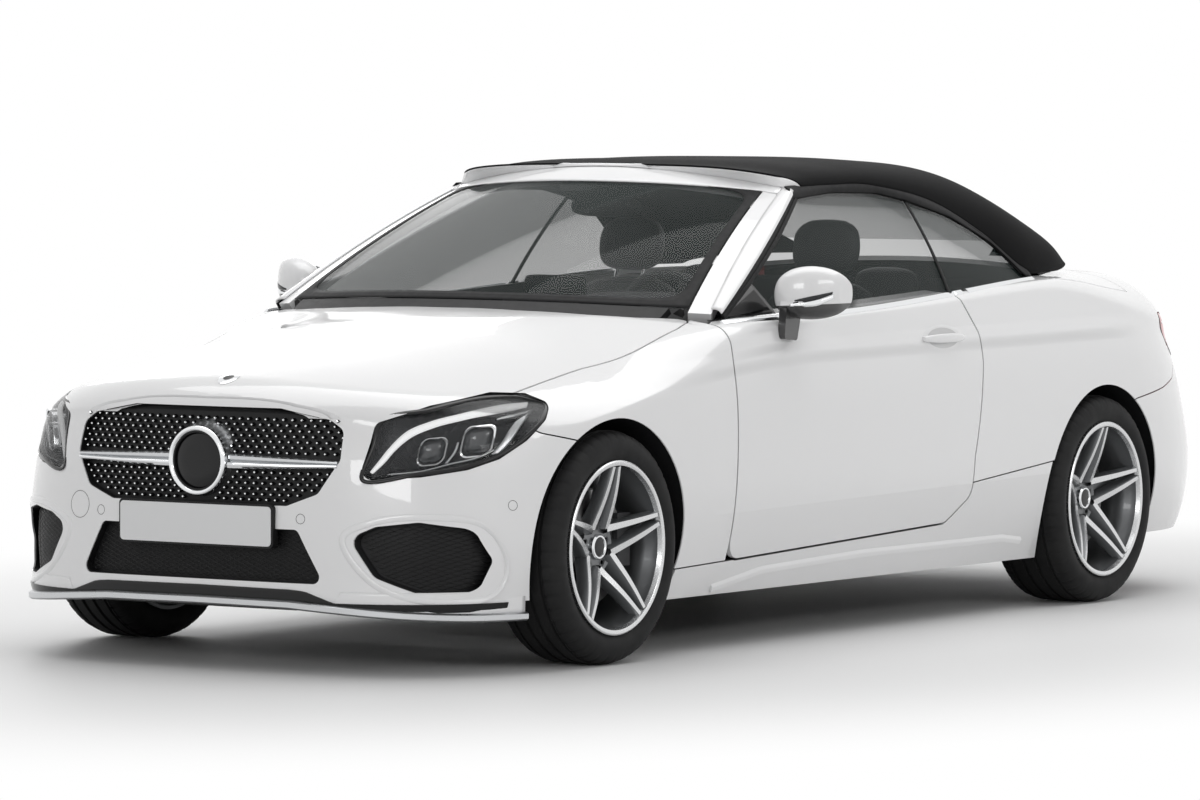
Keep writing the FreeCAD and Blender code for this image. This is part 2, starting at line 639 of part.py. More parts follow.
def make_greenhouse():
    thick = size("glass_thick")
    keep("windscreen", slab(screen, spread(-1, 1, 13), spread(0, 1, 7), thick))
    frame = slab(screen, spread(-1.09, 1.09, 19), spread(-0.03, 1.06, 11), 40)
    pane_space = slab(screen, spread(-1.005, 1.005, 19), spread(-0.2, 1.005, 11), 90, 30)
    door_swing = block(HINGE_X - 108.5, FAR, HINGE_Y - 60, HINGE_Y + 30, 0, 948)
    keep("windscreen_frame", less(frame, pane_space, door_swing, mirrored(door_swing)))
    cowl = slab(screen, spread(-0.985, 0.985, 13), spread(-0.09, -0.004, 4), 20).cut(bonnet_region(LID_GAP))
    slot = block(655, 707, FRONT, BONNET_AXIS_Y + 6, 880, 1100)
    keep("cowl", less(cowl, slot, mirrored(slot)))

    opening = prism("y", REAR_WINDOW, REAR - 500, TAIL_Y, 60)
    cover = slab(roof, spread(0, 1, 21), spread(0, 1, 11), size("roof_thick"))
    in_front = slab(screen, spread(-1.2, 1.2, 13), spread(0.8, 1.0605, 5), 60)
    above = slab(screen, spread(-1.2, 1.2, 13), spread(0.8, 1.0605, 5), -60)
    keep("soft_top", both(cover.cut(in_front).cut(above)).cut(opening))
    pane = slab(roof, spread(0.5, 1, 13), spread(0, 1, 11), thick)
    keep("rear_window", both(pane.common(prism("y", REAR_WINDOW, REAR - 500, TAIL_Y, 60, -0.3))))

    sheet_solid = window_sheet(0, thick)
    keep("door_glass_left", sheet_solid.common(side_region(DOOR_GLASS, 0, 12)))
    keep("door_glass_right", mirrored(parts["door_glass_left"].Shape))
    keep("quarter_windows", pair(sheet_solid.common(side_region(QUARTER_GLASS, 0, 12))))


# Doors with their hinges and mirrors

HINGE_X = HALF - size("hinge_in")
HINGE_Y = DOOR_Y + size("hinge_back")
HINGES = (size("hinge_low"), size("hinge_high"))
LEAF = 20.0
BARREL = 8.0


# x, front and back in y from the front axle, low and high in z
MIRROR = [(836, 920, 985, 985, 1045), (858, 900, 996, 962, 1078), (895, 898, 1010, 950, 1096), (945, 916, 1034, 948, 1100),
          (985, 955, 1058, 958, 1088), (1007, 1005, 1078, 985, 1058)]


def housing_ring(x, front, back, low, high):
    """A closed section across a mirror housing, between an ellipse and a box."""
    points = []
    for k in range(12):
        angle = math.radians(30 * k + 15)
        across = math.copysign(abs(math.cos(angle)) ** 0.75, math.cos(angle))
        up = math.copysign(abs(math.sin(angle)) ** 0.75, math.sin(angle))
        points.append(Vector(x, FRONT + (front + back) / 2 + across * (back - front) / 2,
                             (low + high) / 2 + up * (high - low) / 2))
    ring = Part.BSplineCurve()
    ring.interpolate(Points=points, PeriodicFlag=True)
    return Part.Wire([ring.toShape()])


def make_doors():
    whole = OUTER.common(side_region(DOOR)).common(block(735, 1000, -FAR, FAR, 0, 1300))
    whole = whole.cut(slab(screen, spread(0.9, 1.1, 5), spread(-0.15, 0.6, 7), 40 + DOOR_GAP, 20))
    face = [(735, 1200), (735, 700), (768, 560), (768, 330), (1100, 330), (1100, 1200)]
    inner = prism("y", face, HINGE_Y + 10, DOOR_REAR - 28).cut(prism("x", [
        (DOOR_REAR - 28, 900), (DOOR_REAR + 300, 900), (DOOR_REAR + 300, 0), (REAR - 985, 0), (REAR - 985, 330),
        (REAR - 880, 400), (REAR - 880, 520), (DOOR_REAR - 28, 790)], 0, 1200))
    door = whole.cut(UNDER_STRIP.cut(inner))
    door = door.cut(window_sheet(0.3, size("glass_thick") + 0.6).common(
        side_region([(FRONT + 600, 925), (REAR - 800, 925), (REAR - 800, 1200), (FRONT + 600, 1200)], 0, 0)))
    for height in HINGES:
        for low in (height - LEAF / 2 - LEAF - 0.3, height + LEAF / 2 + 0.3):
            arm = Part.makeCylinder(BARREL, LEAF, Vector(HINGE_X, HINGE_Y, low))
            arm = arm.fuse(block(HINGE_X - 60, HINGE_X, HINGE_Y - 5, HINGE_Y + 12, low, low + LEAF))
            door = door.fuse(arm)
        pin = Part.makeCylinder(size("hinge_pin"), 3 * LEAF, Vector(HINGE_X, HINGE_Y, height - 1.5 * LEAF))
        door = door.fuse(pin)
    keep("door_left", door)
    keep("door_right", mirrored(door))

    shell = Part.makeLoft([housing_ring(*row) for row in MIRROR], True, False)
    foot = prism("x", [(FRONT + 890, 890), (FRONT + 960, 884), (FRONT + 990, 990), (FRONT + 900, 990)], 866, 890, 10)
    foot = foot.fuse(prism("z", [(868, FRONT + 885), (940, FRONT + 900), (940, FRONT + 985), (868, FRONT + 995)], 985, 1000, 10))
    mirror = shell.fuse(foot).cut(OUTER)
    keep("mirror_left", mirror)
    keep("mirror_right", mirrored(mirror))


# The body behind the panels

def make_structure():
    thick = size("floor_thick")
    low = size("floor_under")
    wall = size("wall")
    floor_front = DOOR_Y - 30
    floor_rear = REAR - 395
    step = REAR - 725
    tunnel = block(-105, 105, floor_front, step, low, 300).cut(block(-85, 85, floor_front - 1, FAR, 0, 280))
    floor = block(-800, 800, floor_front, step, low, low + thick).fuse(block(-800, 800, step - wall, floor_rear, 270, 300))
    floor = floor.fuse(block(-800, 800, step - wall, step, low, 300)).cut(block(-85, 85, -FAR, step, 0, 280)).fuse(tunnel)
    for side in (1, -1):
        sill = block(690, 800, floor_front, floor_rear, low, 315)
        floor = floor.fuse(sill if side > 0 else mirrored(sill))
        swing = block(782, 801, floor_front - 1, HINGE_Y + 10, 0, 400)
        floor = floor.cut(swing if side > 0 else mirrored(swing))
    keep("floor_pan", floor)

    well = size("well_radius")
    liner = drum(well + 12, 473, 1000, FRONT, HUB).cut(drum(well, 485, 1001, FRONT, HUB))
    liner = liner.cut(drum(175, 400, 500, FRONT, HUB))
    liner = liner.common(block(0, 1000, -FAR, FAR, 205, 1000)).common(FRAME)
    firewall = block(0, 798, floor_front - wall, floor_front, low, 930).common(FRAME)
    post = block(735, 781, floor_front, HINGE_Y - 15, 315.3, 860)
    rail = block(400, 460, NOSE_Y + 75, floor_front - wall, 330, 430)
    beam = FRAME.common(block(-1, 600, NOSE_Y - 10, NOSE_Y + 150, 425, 452)).cut(body_half(80))
    beam = beam.cut(fascia(GRILLE, 30, 4, 70, 13)).cut(fascia(CORNER_INTAKE, 40, 4, 70, 9))
    carrier = block(0, 440, NOSE_Y + 150, NOSE_Y + 190, 240, 700)
    half = firewall.fuse([post, rail, carrier, beam, liner])
    half = half.fuse([block(380, 480, FRONT - well - 40, FRONT - well + 40, 330, 430),
                      block(400, 480, FRONT + 180, FRONT + 300, 330, 430)])
    half = less(half, bonnet_region(LID_GAP).common(block(-1000, 1000, -FAR, FAR, 700, 1300)), headlamp_region(0.3),
                side_region(SKIRT, 0.3, 20).common(block(799.9, 1000, -FAR, FAR, 0, 600)))
    half = half.cut(block(656, 674.8, floor_front - 60, floor_front + 5, 893, 1000))
    bracket = prism("x", [(floor_front - 5, 880), (BONNET_AXIS_Y + 6, 905), (BONNET_AXIS_Y + 10, 930),
                          (BONNET_AXIS_Y - 10, 936), (floor_front - 5, 925)], 674.8, 684, 4)
    half = half.fuse([bracket, drum(size("hinge_pin"), 662, 684, BONNET_AXIS_Y, BONNET_AXIS_Z)])
    for height in HINGES:
        leaf = prism("z", [(HINGE_X - 90, HINGE_Y - 17), (HINGE_X - 40, HINGE_Y - 17), (HINGE_X - 10, HINGE_Y - 7),
                           (HINGE_X, HINGE_Y - 7), (HINGE_X, HINGE_Y + 4), (HINGE_X - 90, HINGE_Y + 4)],
                     height - LEAF / 2, height + LEAF / 2)
        leaf = leaf.fuse(Part.makeCylinder(BARREL, LEAF, Vector(HINGE_X, HINGE_Y, height - LEAF / 2)))
        half = half.fuse(leaf)
        half = half.cut(Part.makeCylinder(size("hinge_pin") + size("pin_play"), 3 * LEAF, Vector(HINGE_X, HINGE_Y, height - 1.5 * LEAF)))
    keep("front_body", both(half))

    liner = drum(well + 12, 583, 1000, REAR, HUB).cut(drum(well, 595, 1001, REAR, HUB))
    liner = liner.cut(drum(140, 500, 620, REAR, HUB))
    liner = liner.common(block(0, 1000, -FAR, FAR, 205, 1000))
    bulkhead = block(0, 583, floor_rear, floor_rear + wall, 270, 950)
    boot_floor = block(0, 583, floor_rear, TAIL_Y - 130, 300, 300 + wall)
    boot_side = block(583, 603, floor_rear, TAIL_Y - 130, 300, 720).cut(drum(well, 580, 1001, REAR, HUB))
    boot_side = boot_side.cut(drum(140, 500, 620, REAR, HUB))
    tail_panel = block(0, 760, TAIL_Y - 130, TAIL_Y - 110, 300, 700).fuse(
        block(583, 760, TAIL_Y - 130, TAIL_Y - 110, 300, 1000))
    boot_wall = block(0, 583, LID_FRONT - 26, LID_FRONT - 6, 320, 1200).common(body_half(size("lid_thick") + 0.3))
    half = bulkhead.fuse([boot_floor, boot_side, tail_panel, liner, block(0, 600, TAIL_Y - 150, TAIL_Y + 10, 445, 480)])
    half = half.common(FRAME).fuse(boot_wall)
    half = less(half, tail_lamp_region(0.3), side_region(SKIRT, 0.3, 20).common(block(799.9, 1000, -FAR, FAR, 0, 600)),
                body_half(90).common(block(-1, 1000, TAIL_Y - 109, TAIL_Y, 330, 700)))
    arm = prism("x", [(LID_FRONT - 10, LID_AXIS_Z - 50), (LID_AXIS_Y + 26, LID_AXIS_Z - 50), (LID_AXIS_Y + 8, LID_AXIS_Z),
                      (LID_AXIS_Y - 3, LID_AXIS_Z - 3), (LID_AXIS_Y + 4, LID_AXIS_Z - 24), (LID_FRONT - 10, LID_AXIS_Z - 24)],
                LID_HINGE_X - 7, LID_HINGE_X + 7, 2)
    arm = arm.fuse(drum(6, LID_HINGE_X - 7, LID_HINGE_X + 7, LID_AXIS_Y, LID_AXIS_Z))
    half = half.fuse(arm.cut(drum(3 + size("pin_play"), 0, 1000, LID_AXIS_Y, LID_AXIS_Z)))
    keep("rear_body", both(half))


# Wheels, axles and knuckles

def turned(profile, centre_x, y):
    """Solid of revolution about a wheel's axis from (x, radius) corners."""
    wire = Part.makePolygon([Vector(centre_x + x, y, HUB + r) for x, r in profile + profile[:1]])
    solid = Part.Face(wire).revolve(Vector(centre_x, y, HUB), Vector(1, 0, 0), 360)
    if solid.Volume < 0:
        solid.reverse()
    return solid


def tyre(centre_x, y, width):
    """A tyre on its rim, outside at positive X."""
    w = width / 2
    rim = size("rim_radius")
    outside = size("tyre_radius")
    profile = [(-w + 10, outside), (w - 10, outside), (w, outside - 20), (w, rim + 10), (w - 12, rim - 20),
               (-w + 12, rim - 20), (-w, rim + 10), (-w, outside - 20)]
    return turned(profile, centre_x, y)


def wheel(centre_x, y, width, face):
    """Rim, brake disc and stub axle in one: the parts that turn together inside a tyre."""
    w = width / 2 - 12
    rim = size("rim_radius")
    barrel = turned([(-w, rim - 20.3), (-w, rim - 32), (w - 60, rim - 40), (w + 9, rim - 30), (w + 9, rim + 0.5),
                     (w, rim - 20.3)], centre_x, y)
    spokes = []
    for k in range(5):
        for side in (-1, 1):
            spoke = Part.makePolygon([Vector(0, side * 6 - 9, 40), Vector(0, side * 6 + 9, 40),
                                      Vector(0, side * 26 + 10, rim - 26), Vector(0, side * 26 - 10, rim - 26),
                                      Vector(0, side * 6 - 9, 40)])
            solid = Part.Face(spoke).extrude(Vector(34, 0, 0))
            solid.translate(Vector(face + 6, y, HUB))
            solid.rotate(Vector(0, y, HUB), Vector(1, 0, 0), 72 * k)
            spokes.append(solid)
    hub = drum(76, face, face + 34, y, HUB)
    for k in range(5):
        angle = math.radians(72 * k + 36)
        across, up = size("bolt_circle") / 2 * math.sin(angle), size("bolt_circle") / 2 * math.cos(angle)
        hub = hub.cut(drum(size("bolt_hole") / 2, face, face + 34, y + across, HUB + up))
    disc = drum(size("disc_radius"), face - 50, face - 20, y, HUB).fuse(drum(80, face - 25, face, y, HUB))
    stub = drum(size("hub_radius") - 12, face - 120, face, y, HUB)
    return barrel.fuse(spokes + [hub, disc, stub])


FRONT_X = size("track_front") / 2
REAR_X = size("track_rear") / 2
KING_X = FRONT_X - size("kingpin_in")
FACE_FRONT = FRONT_X + 44
FACE_REAR = REAR_X + 45
STUB = size("hub_radius") - 12


def make_running_gear():
    front_tyre = tyre(FRONT_X, FRONT, size("tyre_width_front"))
    rear_tyre = tyre(REAR_X, REAR, size("tyre_width_rear"))
    front_wheel = wheel(FRONT_X, FRONT, size("tyre_width_front"), FACE_FRONT)
    rear_wheel = wheel(REAR_X, REAR, size("tyre_width_rear"), FACE_REAR)
    for name, shape in (("tyre_front", front_tyre), ("tyre_rear", rear_tyre), ("wheel_front", front_wheel),
                        ("wheel_rear", rear_wheel)):
        keep(name + "_left", shape)
        keep(name + "_right", mirrored(shape))

    play = size("pin_play")
    knuckle = drum(52, FACE_FRONT - 122, FACE_FRONT - 60, FRONT, HUB)
    knuckle = knuckle.fuse(block(KING_X - 18, KING_X + 18, FRONT - 22, FRONT + 22, 232, 470))
    caliper = block(FACE_FRONT - 72, FACE_FRONT + 2, FRONT + 95, FRONT + 160, HUB - 60, HUB + 90)
    caliper = caliper.cut(drum(size("disc_radius") + 4, FACE_FRONT - 54, FACE_FRONT - 16, FRONT, HUB))
    knuckle = knuckle.fuse([caliper, block(FACE_FRONT - 90, FACE_FRONT - 60, FRONT, FRONT + 140, HUB - 20, HUB + 40)])
    knuckle = knuckle.cut(drum(STUB + play, 0, 1000, FRONT, HUB))
    knuckle = knuckle.cut(drum(size("disc_radius") + 4, FACE_FRONT - 54, FACE_FRONT - 16, FRONT, HUB))
    pin = Part.makeCylinder(10, 264, Vector(KING_X, FRONT, 218)).cut(drum(40, 0, 1000, FRONT, HUB))
    knuckle = knuckle.fuse(pin)
    keep("knuckle_left", knuckle)
    keep("knuckle_right", mirrored(knuckle))

    member = block(-472.7, 472.7, FRONT - 70, FRONT + 70, 212, 250)
    for side in (1, -1):
        arm = block(470, KING_X + 16, FRONT - 16, FRONT + 16, 212, 231.7)
        upper = block(465, KING_X + 16, FRONT - 16, FRONT + 16, 470.3, 488)
        upper = upper.fuse(block(460.3, 472.7, FRONT - 60, FRONT + 60, 231, 488))
        arm = arm.fuse(upper).cut(Part.makeCylinder(10 + play, 400, Vector(KING_X, FRONT, 150)))
        member = member.fuse(arm if side > 0 else mirrored(arm))
    keep("front_axle", member)

    member = block(-430, 430, REAR - 110, REAR + 110, 268, 299.7)
    carrier = drum(52, 600, FACE_REAR - 60, REAR, HUB).fuse(block(430, 660, REAR - 30, REAR + 30, 268, 299.7))
    carrier = carrier.cut(drum(STUB + play, 0, 1000, REAR, HUB))
    keep("rear_axle", member.fuse([carrier, mirrored(carrier)]))


# What shows of the inside, and what hangs below

def make_inside():
    engine = doc.addObject("Part::Box", "engine")
    engine.Label = "engine"
    engine.setExpression("Length", "Sizes.engine_wide")
    engine.setExpression("Width", "Sizes.engine_long")
    engine.setExpression("Height", "Sizes.engine_tall")
    engine.Placement.Base = Vector(-size("engine_wide") / 2, FRONT - 330, 250.3)
    parts["engine"] = engine

    dash = prism("x", [(FRONT + 650, 560), (FRONT + 650, 925), (FRONT + 800, 985), (FRONT + 1010, 965),
                       (FRONT + 1050, 900), (FRONT + 1010, 720), (FRONT + 880, 620)], -718, 718, 40)
    dash = dash.fuse(block(-734.7, 734.7, FRONT + 651, FRONT + 678, 640, 850))
    keep("dashboard", dash)

    wheel_ring = Part.makeTorus(size("wheel_ring"), 15)
    wheel_ring = wheel_ring.fuse([block(-size("wheel_ring"), size("wheel_ring"), -25, 25, -8, 8), Part.makeCylinder(
        60, 50, Vector(0, 0, -40)), Part.makeCylinder(28, 190, Vector(0, 0, -225))])
    wheel_ring.rotate(Vector(0, 0, 0), Vector(1, 0, 0), -65)
    wheel_ring.translate(Vector(size("seat_pitch"), FRONT + 1150, 900))
    keep("steering_wheel", wheel_ring.cut(dash))

    seats = []
    low = size("floor_under") + size("floor_thick")
    half = size("seat_wide") / 2 - 4
    for side in (-1, 1):
        middle = side * size("seat_pitch")
        cushion = block(middle - half, middle + half, FRONT + 1330, FRONT + 1860, 300.3, 500)
        base = block(middle - half + 40, middle + half - 40, FRONT + 1400, FRONT + 1800, low + 0.3, 310)
        rest = prism("x", [(FRONT + 1800, 400), (FRONT + 1910, 400), (FRONT + 2040, 1060), (FRONT + 1950, 1080)],
                     middle - half + 10, middle + half - 10, 30)
        head = prism("x", [(FRONT + 1935, 1040), (FRONT + 2045, 1040), (FRONT + 2060, 1225), (FRONT + 1970, 1235)],
                     middle - 130, middle + 130, 30)
        seats.append(cushion.fuse([base, rest, head]))
    keep("front_seats", Part.makeCompound(seats))

    bench = block(-575, 575, REAR - 740, REAR - 396, 300.3, 500)
    back = prism("x", [(REAR - 520, 490), (REAR - 396, 490), (REAR - 396, 940), (REAR - 440, 940)], -560, 560, 20)
    keep("rear_seats", bench.fuse(back))

    muffler = block(-350, 350, TAIL_Y - 480, TAIL_Y - 240, 200, 299.7)
    pipe = Part.makeCylinder(30, TAIL_Y - 480 - (FRONT + 700), Vector(0, FRONT + 700, 236), Vector(0, 1, 0))
    keep("exhaust", muffler.fuse(pipe))


def main():
    make_panels()
    make_greenhouse()
    make_doors()
    make_structure()
    make_running_gear()
    make_inside()
    doc.recompute()
    for item in doc.Objects:
        for word in ("Invalid", "Error"):
            if word in item.State:
                raise RuntimeError(item.Name + " is " + word)
    os.makedirs("parts", exist_ok=True)
    for name, item in parts.items():
        shape = item.Shape
        if shape.isNull() or not shape.isValid() or not shape.Solids:
            raise RuntimeError(name + " has no valid solid")
        shape.exportStep("parts/%s.step" % name)
        print(name, len(shape.Solids), round(shape.Volume / 1e6, 3), "dm3")


main()
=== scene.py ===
import math

import bpy
import bmesh
import numpy as np
from mathutils import Matrix, Vector


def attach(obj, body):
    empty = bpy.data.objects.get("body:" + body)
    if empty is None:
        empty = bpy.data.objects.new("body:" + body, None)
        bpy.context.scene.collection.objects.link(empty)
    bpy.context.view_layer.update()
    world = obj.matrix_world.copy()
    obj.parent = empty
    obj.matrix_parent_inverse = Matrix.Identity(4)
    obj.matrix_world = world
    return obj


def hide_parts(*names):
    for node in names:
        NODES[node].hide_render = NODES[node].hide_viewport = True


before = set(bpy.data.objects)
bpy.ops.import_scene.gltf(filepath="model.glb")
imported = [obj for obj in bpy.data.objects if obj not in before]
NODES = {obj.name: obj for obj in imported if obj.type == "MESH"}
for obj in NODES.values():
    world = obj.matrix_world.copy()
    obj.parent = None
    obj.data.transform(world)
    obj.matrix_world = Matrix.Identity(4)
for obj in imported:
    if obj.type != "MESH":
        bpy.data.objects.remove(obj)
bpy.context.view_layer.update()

bl_info = {
    "name": "Convertible car finish",
    "version": (1, 0, 0),
    "blender": (4, 5, 0),
    "location": "3D View > Sidebar > Convertible",
    "description": "Finishes, wheels, lamps, fabric roof and trim of a two-door convertible",
    "category": "Add Mesh",
}


materials = {}


# Shader maths

class Field:
    """A number or colour that varies over a surface: one output socket, with arithmetic."""

    def __init__(self, tree, socket):
        self.tree = tree
        self.socket = socket

    def math(self, operation, *values):
        return node(self.tree, "ShaderNodeMath", {"operation": operation}, dict(enumerate(values)))

    def __add__(self, other):
        return self.math("ADD", self, other)

    __radd__ = __add__

    def __sub__(self, other):
        return self.math("SUBTRACT", self, other)

    def __rsub__(self, other):
        return self.math("SUBTRACT", other, self)

    def __mul__(self, other):
        return self.math("MULTIPLY", self, other)

    __rmul__ = __mul__

    def __truediv__(self, other):
        return self.math("DIVIDE", self, other)

    def __pow__(self, other):
        return self.math("POWER", self, other)

    def __abs__(self):
        return self.math("ABSOLUTE", self)

    def at_least(self, other):
        return self.math("MAXIMUM", self, other)

    def at_most(self, other):
        return self.math("MINIMUM", self, other)

    def sine(self):
        return self.math("SINE", self)

    def between(self, low, high):
        """0 below low, 1 above high, and a smooth rise from one to the other."""
        return node(self.tree, "ShaderNodeMapRange", {"interpolation_type": "SMOOTHSTEP"},
                    {"Value": self, "From Min": low, "From Max": high})

    def colour(self, low, high):
        """The low colour where this is 0 and the high colour where it is 1."""
        return node(self.tree, "ShaderNodeMix", {"data_type": "RGBA"}, {0: self, 6: low, 7: high}, 2)


def node(tree, kind, settings=None, inputs=None, output=0):
    """Adds any node: its settings first, then the values or links of its sockets."""
    made = tree.nodes.new(kind)
    for name, value in (settings or {}).items():
        setattr(made, name, value)
    for name, value in (inputs or {}).items():
        socket = made.inputs[name]
        if isinstance(value, Field):
            tree.links.new(value.socket, socket)
        elif hasattr(value, "__len__") and len(value) == 3 and socket.type == "RGBA":
            socket.default_value = (*value, 1.0)
        else:
            socket.default_value = value
    return Field(tree, made.outputs[output])


class Finish:
    """A material on a Principled surface, filled in by fields."""

    def __init__(self, name, base, roughness=0.5, **constants):
        self.material = bpy.data.materials.new(name)
        self.material.use_nodes = True
        self.tree = self.material.node_tree
        self.surface = self.tree.nodes["Principled BSDF"]
        materials[name] = self.material
        self.set("Base Color", base)
        self.set("Roughness", roughness)
        for words, value in constants.items():
            self.set(words.replace("_", " ").title().replace("Ior", "IOR"), value)

    def set(self, name, value):
        socket = self.surface.inputs[name]
        if isinstance(value, Field):
            self.tree.links.new(value.socket, socket)
        elif hasattr(value, "__len__") and len(value) == 3:
            socket.default_value = (*value, 1.0)
        else:
            socket.default_value = value

    def place(self):
        """Object coordinates of the surface, in metres."""
        return node(self.tree, "ShaderNodeTexCoord", output=3)

    def across(self):
        """The piece's own UV map."""
        return node(self.tree, "ShaderNodeTexCoord", output=2)

    def parts(self, vector):
        return [node(self.tree, "ShaderNodeSeparateXYZ", inputs={0: vector}, output=k) for k in range(3)]

    def noise(self, scale, detail=2.0):
        return node(self.tree, "ShaderNodeTexNoise", inputs={
            "Vector": self.place(), "Scale": scale, "Detail": detail})

    def cells(self, scale):
        return node(self.tree, "ShaderNodeTexVoronoi", inputs={"Vector": self.place(), "Scale": scale})

    def worn(self, low, spread, scale, detail=2.0):
        """Roughness that wanders from low by a spread, with noise of a scale."""
        self.set("Roughness", low + self.noise(scale, detail) * spread)

    def bump(self, height, strength, distance=0.001):
        self.set("Normal", node(self.tree, "ShaderNodeBump", inputs={
            "Height": height, "Strength": strength, "Distance": distance}))


# Forms: arrays of points with their faces

class Form:
    """Points, faces and the finish of each face, before they become a piece."""

    def __init__(self, points, faces, finish=0):
        self.points = np.asarray(points, float).reshape(-1, 3)
        self.faces = [tuple(map(int, face)) for face in faces]
        self.finish = [finish] * len(self.faces) if isinstance(finish, int) else list(finish)

    def __add__(self, other):
        count = len(self.points)
        faces = self.faces + [tuple(k + count for k in face) for face in other.faces]
        return Form(np.concatenate([self.points, other.points]), faces, self.finish + other.finish)

    def mirrored(self):
        """The same form on the other side of the car, faces turned over to point outwards."""
        return Form(self.points * [-1, 1, 1], [face[::-1] for face in self.faces], self.finish)

    def both(self):
        """The form and its mirror image."""
        return self + self.mirrored()

    def on(self, side):
        """The form as drawn for the left side, or mirrored for the right one."""
        return self if side == "left" else self.mirrored()

    def moved(self, matrix, place=(0, 0, 0)):
        return Form(self.points @ np.asarray(matrix, float).T + place, self.faces, self.finish)


EMPTY = Form(np.zeros((0, 3)), [])


def surface(grid, around=False, ends=False, along=False, finish=0):
    """A form over a grid of points. around closes each row on itself, ends fills the first
    and last rows, and along joins the last row to the first."""
    rows, columns = grid.shape[:2]
    i = np.arange(rows if along else rows - 1)[:, None]
    j = np.arange(columns if around else columns - 1)[None, :]
    here, there = i * columns, (i + 1) % rows * columns
    after = (j + 1) % columns
    faces = np.stack([here + j, there + j, there + after, here + after], -1).reshape(-1, 4).tolist()
    if ends:
        faces += [list(range(columns))[::-1], [(rows - 1) * columns + k for k in range(columns)]]
    return Form(grid, faces, finish)


def line_through(points, count, closed=False):
    """A smooth line through a few points: a cubic between neighbours, whose slope at each point
    is that of the chords on either side, read at even shares of the length."""
    points = np.asarray(points, float)
    turns = 3 if closed else 0
    if closed:
        points = np.concatenate([points[-turns:], points, points[:turns + 1]])
    steps = np.maximum(np.linalg.norm(np.diff(points, axis=0), axis=1), 1e-9)
    at = np.concatenate([[0], np.cumsum(steps)])
    slope = np.gradient(points, at, axis=0)
    start, end = (at[turns], at[-turns - 1]) if closed else (0, at[-1])
    want = np.linspace(start, end, count, endpoint=not closed)
    k = np.clip(np.searchsorted(at, want, side="right") - 1, 0, len(steps) - 1)
    u = ((want - at[k]) / steps[k])[:, None]
    step = steps[k][:, None]
    return ((2 * u**3 - 3 * u**2 + 1) * points[k] + (u**3 - 2 * u**2 + u) * step * slope[k]
            + (3 * u**2 - 2 * u**3) * points[k + 1] + (u**3 - u**2) * step * slope[k + 1])


def blended(first, last, count):
    """A grid that runs straight from the points of one line to those of another."""
    share = np.linspace(0, 1, count)[None, :, None]
    return first[:, None] * (1 - share) + last[:, None] * share


def arch(count):
    """A half wave over the columns of a grid: 0 at both ends and 1 in the middle."""
    return np.sin(np.pi * np.linspace(0, 1, count)[None, :, None])


def between(low, high, along=40, across=6):
    """A flat grid that runs straight from one line to another at equal shares of their length."""
    return blended(line_through(low, along), line_through(high, along), across)


def outline_ring(outline, width, count=96, rings=2):
    """A flat grid between a closed outline and the same outline moved in by a width."""
    line = line_through(outline, count, closed=True)
    tangent = np.roll(line, -1, 0) - np.roll(line, 1, 0)
    tangent /= np.linalg.norm(tangent, axis=1)[:, None]
    turn = np.sign(np.sum(line[:, 0] * np.roll(line[:, 1], -1) - np.roll(line[:, 0], -1) * line[:, 1]))
    inward = np.stack([-tangent[:, 1], tangent[:, 0]], -1) * turn
    share = np.linspace(0, 1, rings)[None, :, None]
    return line[:, None] + inward[:, None] * width * share


def round_about(profile, centre, count):
    """A grid turned about a wheel's axis, which runs along X: profile holds (x, radius)."""
    profile = np.asarray(profile, float)
    angle = (np.arange(count) * 2 * np.pi / count)[:, None]
    x = np.broadcast_to(profile[:, 0], (count, len(profile)))
    return np.stack([x, profile[:, 1] * np.sin(angle), profile[:, 1] * np.cos(angle)], -1) + centre


def carry(path, profile, up, closed=False):
    """A profile of (side, up) distances carried along a path, closed or filled at its ends: at
    each point it stands square to the line's direction."""
    path = np.asarray(path, float)
    tangent = np.roll(path, -1, 0) - np.roll(path, 1, 0) if closed else np.gradient(path, axis=0)
    tangent /= np.linalg.norm(tangent, axis=1)[:, None]
    side = np.cross(tangent, np.broadcast_to(np.asarray(up, float), path.shape))
    side /= np.linalg.norm(side, axis=1)[:, None]
    high = np.cross(side, tangent)
    profile = np.asarray(profile, float)
    grid = path[:, None] + side[:, None] * profile[None, :, :1] + high[:, None] * profile[None, :, 1:]
    return surface(grid, around=True, ends=not closed, along=closed)


def rounded_profile(wide, tall, power=2.5, count=16):
    """A closed section between an ellipse and a box."""
    angle = np.arange(count) * 2 * np.pi / count
    c, s = np.cos(angle), np.sin(angle)
    return np.stack([wide / 2 * np.sign(c) * abs(c) ** (2 / power),
                     tall / 2 * np.sign(s) * abs(s) ** (2 / power)], -1)


def stepped(loop, x, y, z, levels):
    """An upright loop repeated along Y: each level holds its scale and its distance from y."""
    return np.stack([np.column_stack([x + loop[:, 0] * scale, np.broadcast_to(y + off, len(loop)),
                                      z + loop[:, 1] * scale]) for scale, off in levels])


def pad_form(centre, half, square, lean=0.0, taper=0.0):
    """A closed rounded box: on each axis the sine or cosine of an angle raised to a power, which
    squares it up. lean shears it back with height and taper narrows its top."""
    count = 26
    up = np.linspace(-np.pi / 2, np.pi / 2, count)[:, None]
    turn = (np.arange(2 * count) * np.pi / count)[None, :]
    power = lambda value: np.sign(value) * abs(value) ** square
    x, y = power(np.cos(up)) * power(np.cos(turn)), power(np.cos(up)) * power(np.sin(turn))
    z = np.broadcast_to(power(np.sin(up)), x.shape)
    x = x * (1 - taper * np.clip(z, 0, 1) ** 2)
    grid = np.stack([x * half[0], y * half[1] + lean * z * half[2], z * half[2]], -1) + centre
    return surface(grid, around=True)


